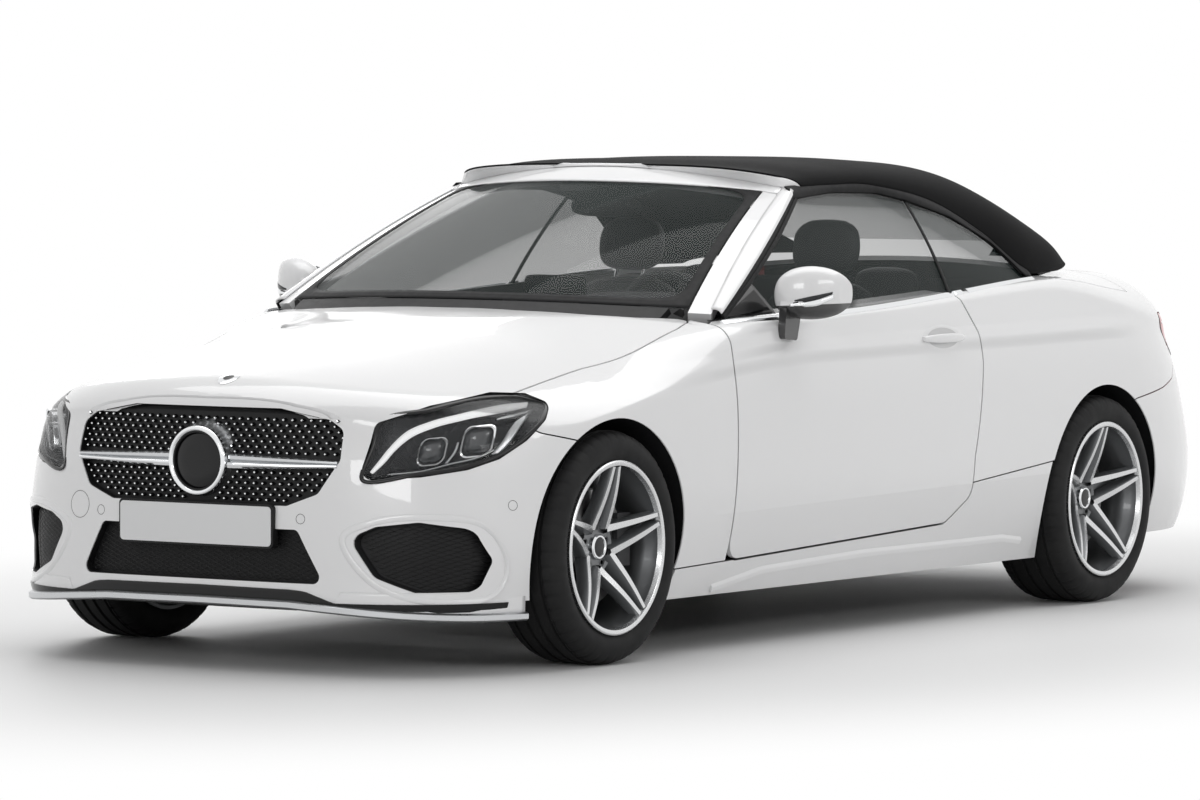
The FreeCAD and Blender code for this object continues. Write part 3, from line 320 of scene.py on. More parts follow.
FRONT_VIEW = np.array([[1, 0, 0], [0, 0, 1], [0, -1, 0]], float)
BACK_VIEW = np.array([[-1, 0, 0], [0, 0, 1], [0, 1, 0]], float)
SIDE_VIEW = np.array([[0, 1, 0], [0, 0, 1], [1, 0, 0]], float)
TOP_VIEW = np.array([[1, 0, 0], [0, 1, 0], [0, 0, 1]], float)
LAMP_TURN = math.radians(40)
LAMP_VIEW = np.array([[math.cos(LAMP_TURN), math.sin(LAMP_TURN), 0], [0, 0, 1],
                      [math.sin(LAMP_TURN), -math.cos(LAMP_TURN), 0]])
TAIL_TURN = math.radians(45)
TAIL_VIEW = np.array([[-math.cos(TAIL_TURN), math.sin(TAIL_TURN), 0], [0, 0, 1],
                      [math.sin(TAIL_TURN), math.cos(TAIL_TURN), 0]])


def seen(view, flat, depth=0.0):
    """Points drawn flat in a view, (right, up), at a depth along the view's third axis."""
    flat = np.asarray(flat, float)
    deep = np.broadcast_to(np.asarray(depth, float), flat.shape[:-1])[..., None]
    return np.concatenate([flat, deep], -1) @ view


OUTSIDE = 3.0
targets = {}


def target_of(*names):
    """A welded copy of some CAD nodes that new pieces are laid on. It is removed at the end."""
    key = "laid_on_" + "_".join(names)[:40]
    if key not in targets:
        shape = bmesh.new()
        for name in names:
            shape.from_mesh(NODES[name].data)
        bmesh.ops.remove_doubles(shape, verts=shape.verts, dist=1e-6)
        mesh = bpy.data.meshes.new(key)
        shape.to_mesh(mesh)
        shape.free()
        targets[key] = bpy.data.objects.new(key, mesh)
        bpy.context.scene.collection.objects.link(targets[key])
        targets[key].hide_render = True
    return targets[key]


def wrapped(points, target, view=None, lift=0.0):
    """Points moved on to a target by a Shrinkwrap: against a view's third axis, or to the
    nearest place of its skin when there is no view."""
    shape = np.asarray(points, float).shape
    local = np.asarray(points, float).reshape(-1, 3)
    axes = np.eye(3) if view is None else view
    local = local @ axes.T
    mesh = bpy.data.meshes.new("wrapped")
    mesh.vertices.add(len(local))
    mesh.vertices.foreach_set("co", local.astype(np.float32).ravel())
    holder = bpy.data.objects.new("wrapped", mesh)
    bpy.context.scene.collection.objects.link(holder)
    holder.matrix_world = Matrix(axes.T.tolist()).to_4x4()
    wrap = holder.modifiers.new("wrap", "SHRINKWRAP")
    wrap.target = target
    wrap.offset = lift
    wrap.wrap_mode = "ABOVE_SURFACE" if lift else "ON_SURFACE"
    if view is None:
        wrap.wrap_method = "NEAREST_SURFACEPOINT"
    else:
        wrap.wrap_method = "PROJECT"
        wrap.use_project_z = True
        wrap.use_negative_direction = True
        wrap.use_positive_direction = False
    bpy.context.view_layer.update()
    found = holder.evaluated_get(bpy.context.evaluated_depsgraph_get()).data
    result = np.zeros(len(local) * 3, np.float32)
    found.vertices.foreach_get("co", result)
    bpy.data.objects.remove(holder)
    bpy.data.meshes.remove(mesh)
    return (result.reshape(-1, 3).astype(float) @ axes).reshape(shape)


def fitted(view, target, outline, inset=0.006):
    """A smooth skin through a target: the depth found under points well inside an outline, as a
    polynomial of both flat coordinates fitted by least squares. Returns flat places laid on it."""
    low, high = np.min(outline, 0), np.max(outline, 0)
    flat = np.stack(np.meshgrid(*(np.linspace(a, b, 60) for a, b in zip(low, high)), indexing="ij"),
                    -1).reshape(-1, 2)
    edge = line_through(outline, 200, closed=True)
    near = np.min(np.linalg.norm(flat[:, None] - edge, axis=2), 1)
    crossing = ((edge[:, 1] > flat[:, None, 1]) != (np.roll(edge[:, 1], -1) > flat[:, None, 1]))
    slope = (np.roll(edge[:, 0], -1) - edge[:, 0]) / (np.roll(edge[:, 1], -1) - edge[:, 1] + 1e-12)
    left = flat[:, None, 0] < edge[:, 0] + slope * (flat[:, None, 1] - edge[:, 1])
    flat = flat[(np.sum(crossing & left, 1) % 2 == 1) & (near > inset)]
    depth = laid(flat, view, target) @ view[2]
    middle, reach = (low + high) / 2, (high - low) / 2
    order = 4
    powers = [(i, j) for i in range(order + 1) for j in range(order + 1 - i)]

    def terms(place):
        x, y = np.moveaxis((place - middle) / reach, -1, 0)
        return np.stack([x ** i * y ** j for i, j in powers], -1)

    good = depth < OUTSIDE - 0.1
    for _ in range(3):
        share = np.linalg.lstsq(terms(flat[good]), depth[good], rcond=None)[0]
        good = abs(terms(flat) @ share - depth) < 0.004
    return lambda place, lift=0.0: seen(view, place, terms(np.asarray(place, float)) @ share + lift)


def laid(flat, view, target, lift=0.0):
    """A flat drawing in a view, pushed in from outside until it lies on a target."""
    return wrapped(seen(view, flat, OUTSIDE), target, view, lift)


def piece(name, form, finishes, body, slot=None, thick=0.0, smooth=35.0, replaces=(), fix=True):
    """Makes a form into a piece that rides on a body. thick gives an open form a wall, and fix
    turns every face of a closed form outwards."""
    mesh = bpy.data.meshes.new(name)
    mesh.from_pydata(form.points.tolist(), [], form.faces)
    finishes = finishes if isinstance(finishes, (list, tuple)) else [finishes]
    for finish in finishes:
        mesh.materials.append(materials[finish])
    mesh.polygons.foreach_set("material_index", np.asarray(form.finish, np.int32))
    if fix:
        shape = bmesh.new()
        shape.from_mesh(mesh)
        bmesh.ops.remove_doubles(shape, verts=shape.verts, dist=1e-6)
        if not thick:
            bmesh.ops.recalc_face_normals(shape, faces=shape.faces)
        shape.to_mesh(mesh)
        shape.free()
    mesh.shade_smooth()
    mesh.set_sharp_from_angle(angle=math.radians(smooth))
    made = bpy.data.objects.new(name, mesh)
    bpy.context.scene.collection.objects.link(made)
    if thick:
        wall = made.modifiers.new("wall", "SOLIDIFY")
        wall.thickness = thick
        wall.offset = -1.0
        wall.use_even_offset = True
    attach(made, body)
    if replaces:
        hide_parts(*replaces)
    return made


# Sizes and colours that a user would change

class FinishColours(bpy.types.PropertyGroup):
    body: bpy.props.FloatVectorProperty(name="Body", description="Paint of the body panels", subtype="COLOR",
                                        size=3, min=0, max=1, default=(0.80, 0.80, 0.805))
    roof: bpy.props.FloatVectorProperty(name="Roof", description="Fabric of the roof", subtype="COLOR",
                                        size=3, min=0, max=1, default=(0.0032, 0.0032, 0.0035))
    cabin: bpy.props.FloatVectorProperty(name="Cabin", description="Leather and soft plastic inside",
                                         subtype="COLOR", size=3, min=0, max=1, default=(0.022, 0.022, 0.024))
    glass: bpy.props.FloatVectorProperty(name="Glass", description="Tint of the windows", subtype="COLOR",
                                         size=3, min=0, max=1, default=(0.026, 0.037, 0.035))
    wheel: bpy.props.FloatVectorProperty(name="Wheel", description="Painted sides of the spokes",
                                         subtype="COLOR", size=3, min=0, max=1, default=(0.16, 0.165, 0.17))


class WheelSizes(bpy.types.PropertyGroup):
    rim: bpy.props.FloatProperty(name="Rim radius", description="Outside of the bright rim edge",
                                 default=0.241, min=0.2, max=0.28, unit="LENGTH")
    rib: bpy.props.FloatProperty(name="Rib width", description="Width of one bright spoke rib",
                                 default=0.019, min=0.008, max=0.04, unit="LENGTH")
    groove: bpy.props.FloatProperty(name="Groove depth", description="Depth of the tread grooves",
                                    default=0.007, min=0.002, max=0.01, unit="LENGTH")


class CameraPlace(bpy.types.PropertyGroup):
    place: bpy.props.FloatVectorProperty(name="Place", description="Where the camera stands",
                                         subtype="TRANSLATION", size=3, default=(10.3402, -16.1197, 1.5248))
    azimuth: bpy.props.FloatProperty(name="Azimuth",
                                     description="Turn about the vertical from straight ahead",
                                     default=0.5789, subtype="ANGLE")
    elevation: bpy.props.FloatProperty(name="Elevation", description="How far the camera looks down",
                                       default=0.0450, subtype="ANGLE")
    roll: bpy.props.FloatProperty(name="Roll", description="Tilt about the line of sight",
                                  default=0.0044, subtype="ANGLE")
    lens: bpy.props.FloatProperty(name="Lens",
                                  description="Focal length on a 36 mm wide sensor, in millimetres",
                                  default=186.27, min=20, max=400)


# Stage

WORLD_LIGHT = 0.43
FLOOR_REACH = 60
FLOOR_GAP = 0.0008


def looked_at(tree):
    """1 for rays from the camera, from mirrors and through glass, and 0 for rays that light."""
    camera, glossy, through = (node(tree, "ShaderNodeLightPath", output=k) for k in (0, 3, 6))
    return camera.at_least(glossy).at_least(through)


class CONVERTIBLE_OT_stage(bpy.types.Operator):
    """Adds the camera, the lamps and a pale floor"""
    bl_idname = "convertible.stage"
    bl_label = "Stage"

    def execute(self, context):
        view = context.scene.convertible_camera
        a, e, roll = view.azimuth, view.elevation, view.roll
        back = Vector((math.sin(a) * math.cos(e), -math.cos(a) * math.cos(e), math.sin(e)))
        right = Vector((math.cos(a), math.sin(a), 0))
        up = back.cross(right)
        right, up = (right * math.cos(roll) + up * math.sin(roll),
                     up * math.cos(roll) - right * math.sin(roll))
        camera = bpy.data.objects.new("camera", bpy.data.cameras.new("camera"))
        camera.data.lens = view.lens
        camera.data.sensor_width = 36
        camera.data.clip_end = 200
        camera.matrix_world = Matrix((right, up, back)).transposed().to_4x4()
        camera.location = view.place
        context.scene.collection.objects.link(camera)
        context.scene.camera = camera

        for name, place, aim, wide, tall, power in (
                ("lamp_above", (0.3, 0.3, 4.6), (0, 0, 0), 3.4, 8.0, 142),
                ("lamp_front", (3.0, -10.0, 3.2), (0, -1.5, 0.6), 5.0, 1.6, 120),
                ("lamp_side", (9.0, -1.0, 3.4), (0.6, 0.3, 0.6), 6.0, 1.2, 88),
                ("lamp_back", (-6.0, 7.0, 4.0), (0, 1.0, 0.7), 5.0, 2.5, 110)):
            lamp = bpy.data.lights.new(name, "AREA")
            lamp.shape = "RECTANGLE"
            lamp.size, lamp.size_y, lamp.energy = wide, tall, power
            holder = bpy.data.objects.new(name, lamp)
            holder.location = place
            holder.rotation_euler = (Vector(place) - Vector(aim)).to_track_quat("Z", "Y").to_euler()
            context.scene.collection.objects.link(holder)

        world = bpy.data.worlds.new("studio")
        context.scene.world = world
        world.use_nodes = True
        tree = world.node_tree
        tree.nodes["Background"].inputs["Color"].default_value = (1, 1, 1, 1)
        light = WORLD_LIGHT + looked_at(tree) * (1 - WORLD_LIGHT)
        tree.links.new(light.socket, tree.nodes["Background"].inputs["Strength"])

        floor = Finish("floor", (0.80, 0.80, 0.80), 0.55)
        x, y, _ = floor.parts(floor.place())
        far = ((x * x) / 9.0 + (y * y) / 22.0) ** 0.5
        glow = node(floor.tree, "ShaderNodeEmission", inputs={"Color": (1, 1, 1), "Strength": 1.0})
        mix = node(floor.tree, "ShaderNodeMixShader", inputs={
            0: looked_at(floor.tree) * far.between(0.55, 1.15),
            1: Field(floor.tree, floor.surface.outputs[0]), 2: glow})
        floor.tree.links.new(mix.socket, floor.tree.nodes["Material Output"].inputs["Surface"])
        side = np.linspace(-FLOOR_REACH, FLOOR_REACH, 5)
        flat = np.stack(np.meshgrid(side, side, indexing="ij"), -1)
        form = surface(seen(TOP_VIEW, flat, -FLOOR_GAP))
        mesh = bpy.data.meshes.new("floor")
        mesh.from_pydata(form.points.tolist(), [], form.faces)
        mesh.materials.append(floor.material)
        ground = bpy.data.objects.new("floor", mesh)
        context.scene.collection.objects.link(ground)
        context.scene.view_settings.view_transform = "Standard"
        return {"FINISHED"}


# Finishes

WHEEL_PLACES = ("front_left", "front_right", "rear_left", "rear_right")


class CONVERTIBLE_OT_finishes(bpy.types.Operator):
    """Makes every material and gives each CAD node its own"""
    bl_idname = "convertible.finishes"
    bl_label = "Finishes"

    def execute(self, context):
        colours = context.scene.convertible_colours
        body, cabin = tuple(colours.body), tuple(colours.cabin)

        for name in ("paint", "door_paint"):
            paint = Finish(name, body, 0.3, coat_weight=1.0, coat_roughness=0.03)
            x, y, z = paint.parts(paint.place())
            crease = z - (0.8575 + 0.012 * y) + 0.075 * (((-0.45 - y).at_least(0.0)) ** 1.8)
            shoulder = (1.0 - abs(crease).between(0.0, 0.04)) * 0.013
            low_line = z - (0.411 + 0.0167 * y)
            hollow = low_line.at_most(0.0) * 0.22 * y.between(-1.3, -0.7)
            side = abs(x).between(0.76, 0.80) * y.between(-1.35, -0.95) * (1.0 - y.between(1.2, 1.6))
            paint.bump((shoulder + hollow) * side + paint.noise(900.0) * 0.00001, 1.0, 1.0)
            if name == "door_paint":
                inside = (1.0 - abs(x).between(0.786, 0.790)) * z.between(0.29, 0.30)
                paint.set("Base Color", inside.colour(body, (0.03, 0.03, 0.032)))
                paint.set("Coat Weight", 1.0 - inside * 0.9)

        plastic = Finish("black_plastic", (0.009, 0.009, 0.0095), 0.5, specular_ior_level=0.25)
        plastic.worn(0.42, 0.14, 40.0)
        plastic.bump(plastic.cells(1400.0), 0.25, 0.0002)

        gloss = Finish("gloss_black", (0.005, 0.005, 0.0055), 0.15, specular_ior_level=0.35)
        gloss.worn(0.10, 0.06, 12.0)

        chrome = Finish("chrome", (0.80, 0.81, 0.82), 0.08, metallic=1.0)
        chrome.worn(0.06, 0.05, 30.0)

        satin = Finish("satin_silver", (0.56, 0.57, 0.58), 0.28, metallic=1.0)
        satin.worn(0.24, 0.1, 60.0, 4.0)

        bright = Finish("machined_metal", (0.66, 0.665, 0.67), 0.24, metallic=1.0)
        bright.worn(0.2, 0.12, 220.0)
        bright.bump(bright.noise(1600.0), 0.12, 0.0002)

        painted = Finish("wheel_paint", tuple(colours.wheel), 0.36, metallic=0.75, coat_weight=0.5)
        painted.worn(0.32, 0.1, 500.0)

        disc = Finish("brake_metal", (0.42, 0.42, 0.42), 0.35, metallic=1.0)
        disc.worn(0.3, 0.2, 90.0, 4.0)

        cast = Finish("dark_metal", (0.05, 0.05, 0.052), 0.6, metallic=0.6)
        cast.bump(cast.noise(300.0, 3.0), 0.3, 0.0006)
        cast.worn(0.5, 0.25, 30.0)

        rubber = Finish("tyre", (0.010, 0.010, 0.0105), 0.72, specular_ior_level=0.25)
        rubber.worn(0.62, 0.2, 25.0, 3.0)
        dust = rubber.noise(9.0, 3.0).between(0.3, 0.75)
        rubber.set("Base Color", dust.colour((0.008, 0.008, 0.0085), (0.014, 0.014, 0.014)))
        rubber.bump(rubber.noise(900.0), 0.25, 0.0003)

        seal = Finish("seal", (0.005, 0.005, 0.0055), 0.6, specular_ior_level=0.2)
        seal.worn(0.5, 0.2, 50.0)

        liner = Finish("liner", (0.008, 0.008, 0.009), 0.95, specular_ior_level=0.1)
        liner.bump(liner.noise(450.0, 3.0), 0.6, 0.001)
        liner.set("Base Color", liner.noise(350.0).colour((0.007, 0.007, 0.008), (0.02, 0.02, 0.021)))

        fabric = Finish("roof_fabric", tuple(colours.roof), 0.95, sheen_weight=0.03, specular_ior_level=0.15)
        u, v, _ = fabric.parts(fabric.across())
        weave = ((u * 3900.0).sine() * (v * 3900.0).sine()) * 0.5 + 0.5
        twill = ((u + v) * 2600.0).sine() * 0.5 + 0.5
        height = weave * 0.6 + twill * 0.4
        # The colour follows the weave's height and is darker in its low places between threads: painted shade
        # of the weave, with random tone from the noise.
        fabric.set("Base Color", (height * 0.7 + fabric.noise(30.0, 3.0) * 0.3).colour(
            tuple(0.55 * k for k in colours.roof), tuple(1.9 * k for k in colours.roof)))
        fabric.bump(height, 0.5, 0.0004)

        leather = Finish("seat_leather", cabin, 0.5)
        grain = leather.cells(420.0)
        leather.bump(grain * 0.6 + leather.noise(60.0, 3.0) * 0.8, 0.35, 0.0008)
        leather.set("Roughness", 0.42 + grain * 0.2)
        shades = tuple(0.8 * k for k in cabin), tuple(1.3 * k for k in cabin)
        leather.set("Base Color", leather.noise(14.0, 3.0).colour(*shades))

        soft = Finish("cabin_plastic", cabin, 0.6)
        soft.bump(soft.cells(700.0), 0.3, 0.0004)
        soft.worn(0.55, 0.15, 30.0)

        for name, alpha in (("window_glass", 0.20), ("dark_glass", 0.27)):
            glass = Finish(name, tuple(colours.glass), 0.02, ior=1.45, specular_ior_level=0.3)
            rim = node(glass.tree, "ShaderNodeLayerWeight", inputs={"Blend": 0.08})
            glass.set("Alpha", alpha + rim * (0.7 - alpha))

        lens = Finish("lamp_glass", (0.02, 0.022, 0.024), 0.02, ior=1.6)
        rim = node(lens.tree, "ShaderNodeLayerWeight", inputs={"Blend": 0.2})
        lens.set("Alpha", 0.10 + rim * 0.5)

        red = Finish("lamp_red", (0.30, 0.002, 0.004), 0.1)
        # The red emission is a painted glow: the lamps are not lit, and the reflectors and third brake light
        # share this finish.
        red.set("Emission Color", (0.5, 0.0, 0.004))
        red.set("Emission Strength", 0.25)
        z = red.parts(red.place())[2]
        rib = (z * 900.0).sine() * 0.5 + 0.5
        ribbed = rib * (1.0 - z.between(0.80, 0.81))
        # The colour rises and falls with the ribs' bump: painted shade along the lens ribs. Above 0.81 m it
        # stays at the darker red.
        red.set("Base Color", ribbed.colour((0.20, 0.001, 0.002), (0.34, 0.004, 0.006)))
        red.bump(rib, 0.1, 0.0006)

        guide = Finish("light_guide", (0.93, 0.94, 0.95), 0.25)
        # The white emission is a painted glow standing in for the bright reflection of the unlit light guide.
        guide.set("Emission Color", (1, 1, 1))
        guide.set("Emission Strength", 0.6)
        guide.worn(0.2, 0.1, 90.0)

        bowl = Finish("lamp_bowl", (0.020, 0.021, 0.023), 0.22, metallic=0.4)
        bowl.worn(0.16, 0.2, 50.0, 3.0)

        crystal = Finish("projector_glass", (0.10, 0.105, 0.11), 0.03, metallic=0.3, coat_weight=1.0,
                         coat_roughness=0.02)
        crystal.bump(crystal.cells(120.0), 0.35, 0.002)

        # The second finish is the body paint at 0.72 of its brightness: a painted shade for the door handle
        # recesses.
        for name, colour in (("paint_plain", body), ("cup_painted_shade", tuple(0.72 * k for k in body))):
            plain = Finish(name, colour, 0.32, coat_weight=1.0, coat_roughness=0.03)
            plain.bump(plain.noise(900.0), 0.02, 0.0005)

        plate = Finish("plate_white", (0.74, 0.745, 0.75), 0.3)
        plate.worn(0.28, 0.08, 120.0)

        worn = {"paint": ("bonnet", "boot_lid", "front_fenders", "rear_quarters", "front_bumper",
                          "rear_bumper", "side_skirts", "windscreen_frame", "tonneau_cover"),
                "door_paint": ("door_left", "door_right"),
                "liner": ("front_body", "rear_body", "floor_pan"),
                "gloss_black": ("front_lip",),
                "black_plastic": ("grille", "intake_meshes", "cowl", "engine"),
                "lamp_red": ("tail_lamps",),
                "window_glass": ("windscreen",),
                "dark_glass": ("door_glass_left", "door_glass_right", "quarter_windows", "rear_window"),
                "dark_metal": ("front_axle", "rear_axle", "knuckle_left", "knuckle_right", "exhaust"),
                "cabin_plastic": ("dashboard", "steering_wheel", "front_seats", "rear_seats"),
                "roof_fabric": ("soft_top",), "lamp_glass": ("headlamps",),
                "wheel_paint": tuple("wheel_" + corner for corner in WHEEL_PLACES),
                "tyre": tuple("tyre_" + corner for corner in WHEEL_PLACES)}
        for finish, names in worn.items():
            for name in names:
                NODES[name].data.materials.clear()
                NODES[name].data.materials.append(materials[finish])

        mirror = Finish("mirror_shell", body, 0.3, coat_weight=1.0, coat_roughness=0.03)
        x, _, z = mirror.parts(mirror.place())
        low = 1.0 - (z - 0.05 * (abs(x) - 0.9)).between(0.9875, 0.989)
        mirror.set("Base Color", low.colour(body, (0.006, 0.006, 0.0065)))
        mirror.set("Roughness", 0.3 + low * 0.15)
        for name in ("mirror_left", "mirror_right"):
            NODES[name].data.materials.clear()
            NODES[name].data.materials.append(mirror.material)
        return {"FINISHED"}


# Wheels and tyres

CORNERS = {"front_left": (0.7815, -1.568, 0.225, 0.8255), "rear_left": (0.773, 1.272, 0.255, 0.818)}
HUB_Z = 0.329


def tyre_form(middle, y, width, depth):
    """A tyre: a section of bead, bulging sidewall, round shoulder and grooved tread turned about
    the axle. The shoulder ribs drop by a sipe's depth over a sixth of each pitch."""
    half = width / 2
    side = [(half - 0.030, 0.239), (half - 0.016, 0.243), (half - 0.006, 0.254), (half - 0.0005, 0.272),
            (half - 0.001, 0.288), (half - 0.006, 0.304), (half - 0.014, 0.316), (half - 0.022, 0.3215)]
    sipes = len(side)
    shoulder = [(half - 0.034, 0.3255), (half - 0.048, 0.3275)]
    tread = []
    for centre in (0.56, 0.18, -0.18, -0.56):
        c = centre * half
        tread += [(c + 0.0065, 0.3288), (c + 0.0045, 0.3288 - depth), (c - 0.0045, 0.3288 - depth),
                  (c - 0.0065, 0.3288)]
    half_profile = side + shoulder
    profile = half_profile + tread + [(-x, r) for x, r in half_profile[::-1]]
    count = 384
    grid = round_about(profile, (0, 0, 0), count)
    wedge = np.arange(count) % 8
    cut = np.where((wedge == 0) | (wedge == 1), 0.0028, 0.0)[:, None]
    rows = list(range(sipes - 2, sipes + 2)) + list(range(len(profile) - sipes - 2, len(profile) - sipes + 2))
    radius = np.hypot(grid[:, rows, 1], grid[:, rows, 2])
    shrink = (radius - cut) / radius
    grid[:, rows, 1] *= shrink
    grid[:, rows, 2] *= shrink
    return surface(grid + (middle, y, HUB_Z), along=True)


def turned_form(profile, middle, y, count, finish=0):
    grid = round_about([(x - middle, r) for x, r in profile], (middle, y, HUB_Z), count)
    return surface(grid, along=True, finish=finish)


def wheel_form(middle, y, width, face, rim, rib):
    """A rim turned about the axle and five arms. Each arm is two ribs that run straight from the
    valleys beside it at the hub to its tip at the rim. Finishes: 0 bright, 1 paint, 2 black,
    3 brake disc, 4 chrome."""
    half = width / 2 - 0.006
    out = middle + half
    form = turned_form([(out - 0.010, rim - 0.014), (out + 0.003, rim - 0.010),
                        (out + 0.0055, rim - 0.005), (out + 0.0055, rim + 0.001),
                        (out + 0.003, rim + 0.0045), (out - 0.012, rim + 0.0045)], middle, y, 96, 0)
    form += turned_form([(out - 0.009, rim - 0.0135), (out - 0.030, rim - 0.0165),
                         (out - 0.045, rim - 0.024), (out - 0.075, rim - 0.030),
                         (middle - half + 0.03, rim - 0.026), (middle - half, rim - 0.006),
                         (middle - half, rim + 0.004), (middle - half + 0.03, rim - 0.006),
                         (out - 0.03, rim - 0.006), (out - 0.011, rim + 0.004)], middle, y, 96, 1)
    tip = rim - 0.013
    steps = np.linspace(0, 1, 15)
    for k in range(5):
        arm = math.radians(72 * k)
        for sign in (-1, 1):
            start_angle, end_angle = arm + sign * math.radians(36), arm + sign * math.radians(3.4)
            first = np.array([math.sin(start_angle), math.cos(start_angle)]) * 0.062
            last = np.array([math.sin(end_angle), math.cos(end_angle)]) * tip
            line = first + (last - first) * steps[:, None]
            along = (last - first) / np.linalg.norm(last - first)
            side = np.array([along[1], -along[0]]) * sign
            wide = rib * (1.12 - 0.42 * steps)
            lift = face + 0.006 + (out - 0.006 - face) * steps ** 1.25 + 0.010 * np.sin(np.pi * steps)
            flare = 0.007 + 0.006 * (1 - steps)
            drop = 0.030 + 0.012 * (1 - steps)
            across = np.stack([-wide / 2 - flare, -wide / 2 - 0.0015, -wide / 2 + 0.001, wide / 2 - 0.001,
                               wide / 2 + 0.0015, wide / 2 + flare * 0.5], -1)
            deep = np.stack([lift - drop, lift - 0.004, lift, lift, lift - 0.004, lift - drop], -1)
            plan = line[:, None] + side * across[..., None]
            grid = np.concatenate([deep[..., None], plan], -1) + (0, y, HUB_Z)
            finish = np.tile([1, 1, 0, 1, 1], len(steps) - 1).tolist()
            form += surface(grid, finish=finish)
        edge_a = np.array([math.sin(arm - 0.60), math.cos(arm - 0.60)]) * 0.060
        edge_b = np.array([math.sin(arm + 0.60), math.cos(arm + 0.60)]) * 0.060
        end_a = np.array([math.sin(arm - 0.06), math.cos(arm - 0.06)]) * tip
        end_b = np.array([math.sin(arm + 0.06), math.cos(arm + 0.06)]) * tip
        rows = np.stack([edge_a + (end_a - edge_a) * steps[:, None],
                         edge_b + (end_b - edge_b) * steps[:, None]], 1)
        depth = (face - 0.022 + (out - 0.034 - face) * steps ** 1.2)[:, None]
        web = np.concatenate([np.broadcast_to(depth, (len(steps), 2))[..., None], rows], -1) + (0, y, HUB_Z)
        form += surface(web, finish=1)
    form += turned_form([(face - 0.004, 0.0), (face - 0.004, 0.030), (face - 0.010, 0.034),
                         (face - 0.010, 0.066), (face - 0.004, 0.074), (face - 0.040, 0.082),
                         (face - 0.060, 0.080)], middle, y, 60, 1)
    form += turned_form([(face + 0.004, 0.0), (face + 0.0045, 0.018), (face + 0.003, 0.0275)],
                        middle, y, 48, 2)
    form += turned_form([(face + 0.002, 0.0265), (face + 0.0062, 0.0285), (face + 0.0062, 0.0325),
                         (face + 0.002, 0.0355), (face - 0.010, 0.0365)], middle, y, 48, 4)
    for k in range(5):
        angle = math.radians(72 * k)
        place = (middle, y + 0.056 * math.sin(angle), HUB_Z + 0.056 * math.cos(angle))
        ring = round_about([(face - 0.009 - middle, 0.0125), (face - 0.0085 - middle, 0.0095),
                            (face - 0.024 - middle, 0.0090)], place, 18)
        form += surface(ring, along=True, finish=1)
        bolt = round_about([(face - 0.024 - middle, 0.0090), (face - 0.018 - middle, 0.0085),
                            (face - 0.010 - middle, 0.0075), (face - 0.010 - middle, 0.0)], place, 6)
        form += surface(bolt, along=True, finish=0)
    disc = [(face - 0.024, 0.078), (face - 0.024, 0.160), (face - 0.028, 0.165), (face - 0.044, 0.165),
            (face - 0.048, 0.160), (face - 0.048, 0.078)]
    form += turned_form(disc, middle, y, 72, 3)
    form += turned_form([(face - 0.012, 0.060), (face - 0.012, 0.074), (face - 0.020, 0.080),
                         (face - 0.060, 0.082), (face - 0.060, 0.02)], middle, y, 48, 1)
    return form


class CONVERTIBLE_OT_wheels(bpy.types.Operator):
    """Makes the four wheels, their tyres and brake discs"""
    bl_idname = "convertible.wheels"
    bl_label = "Wheels"

    def execute(self, context):
        sizes = context.scene.convertible_wheels
        for corner, (middle, y, width, face) in CORNERS.items():
            tyre = tyre_form(middle, y, width, sizes.groove)
            wheel = wheel_form(middle, y, width, face, sizes.rim, sizes.rib)
            end = corner.split("_")[0]
            for side, rubber, metal in (("left", tyre, wheel), ("right", tyre.mirrored(), wheel.mirrored())):
                body = "wheel_%s_%s" % (end, side)
                piece("tread_%s_%s" % (end, side), rubber, "tyre", body, "tyre", smooth=28, fix=False,
                      replaces=["tyre_%s_%s" % (end, side)])
                piece("rim_%s_%s" % (end, side), metal,
                      ["machined_metal", "wheel_paint", "gloss_black", "brake_metal", "chrome"], body,
                      "wheel_metal", smooth=30, fix=False, replaces=[body])
        return {"FINISHED"}


# The fabric roof

ROOF_EDGE = [(0.0, 0.600, -0.202, 1.326), (0.2, 0.606, 0.032, 1.334), (0.4, 0.612, 0.292, 1.330),
             (0.55, 0.628, 0.592, 1.280), (0.7, 0.672, 0.842, 1.172), (0.82, 0.742, 1.010, 1.052),
             (0.9, 0.742, 1.142, 1.052), (1.0, 0.706, 1.282, 1.056)]
ROOF_CROWN = [(0.0, -0.298, 1.374), (0.2, -0.068, 1.402), (0.4, 0.372, 1.410), (0.55, 0.712, 1.404),
              (0.7, 0.972, 1.372), (0.82, 1.212, 1.285), (0.9, 1.362, 1.205), (1.0, 1.512, 1.092)]


def smooth_knots(knots, at, column):
    """Value of a smooth curve through knots, whose first column is the place along it."""
    table = np.asarray(knots, float)
    slope = np.gradient(table[:, column], table[:, 0])
    k = np.clip(np.searchsorted(table[:, 0], at, side="right") - 1, 0, len(table) - 2)
    step = table[k + 1, 0] - table[k, 0]
    u = (at - table[k, 0]) / step
    return ((2 * u**3 - 3 * u**2 + 1) * table[k, column] + (u**3 - 2 * u**2 + u) * step * slope[k]
            + (3 * u**2 - 2 * u**3) * table[k + 1, column] + (u**3 - u**2) * step * slope[k + 1])


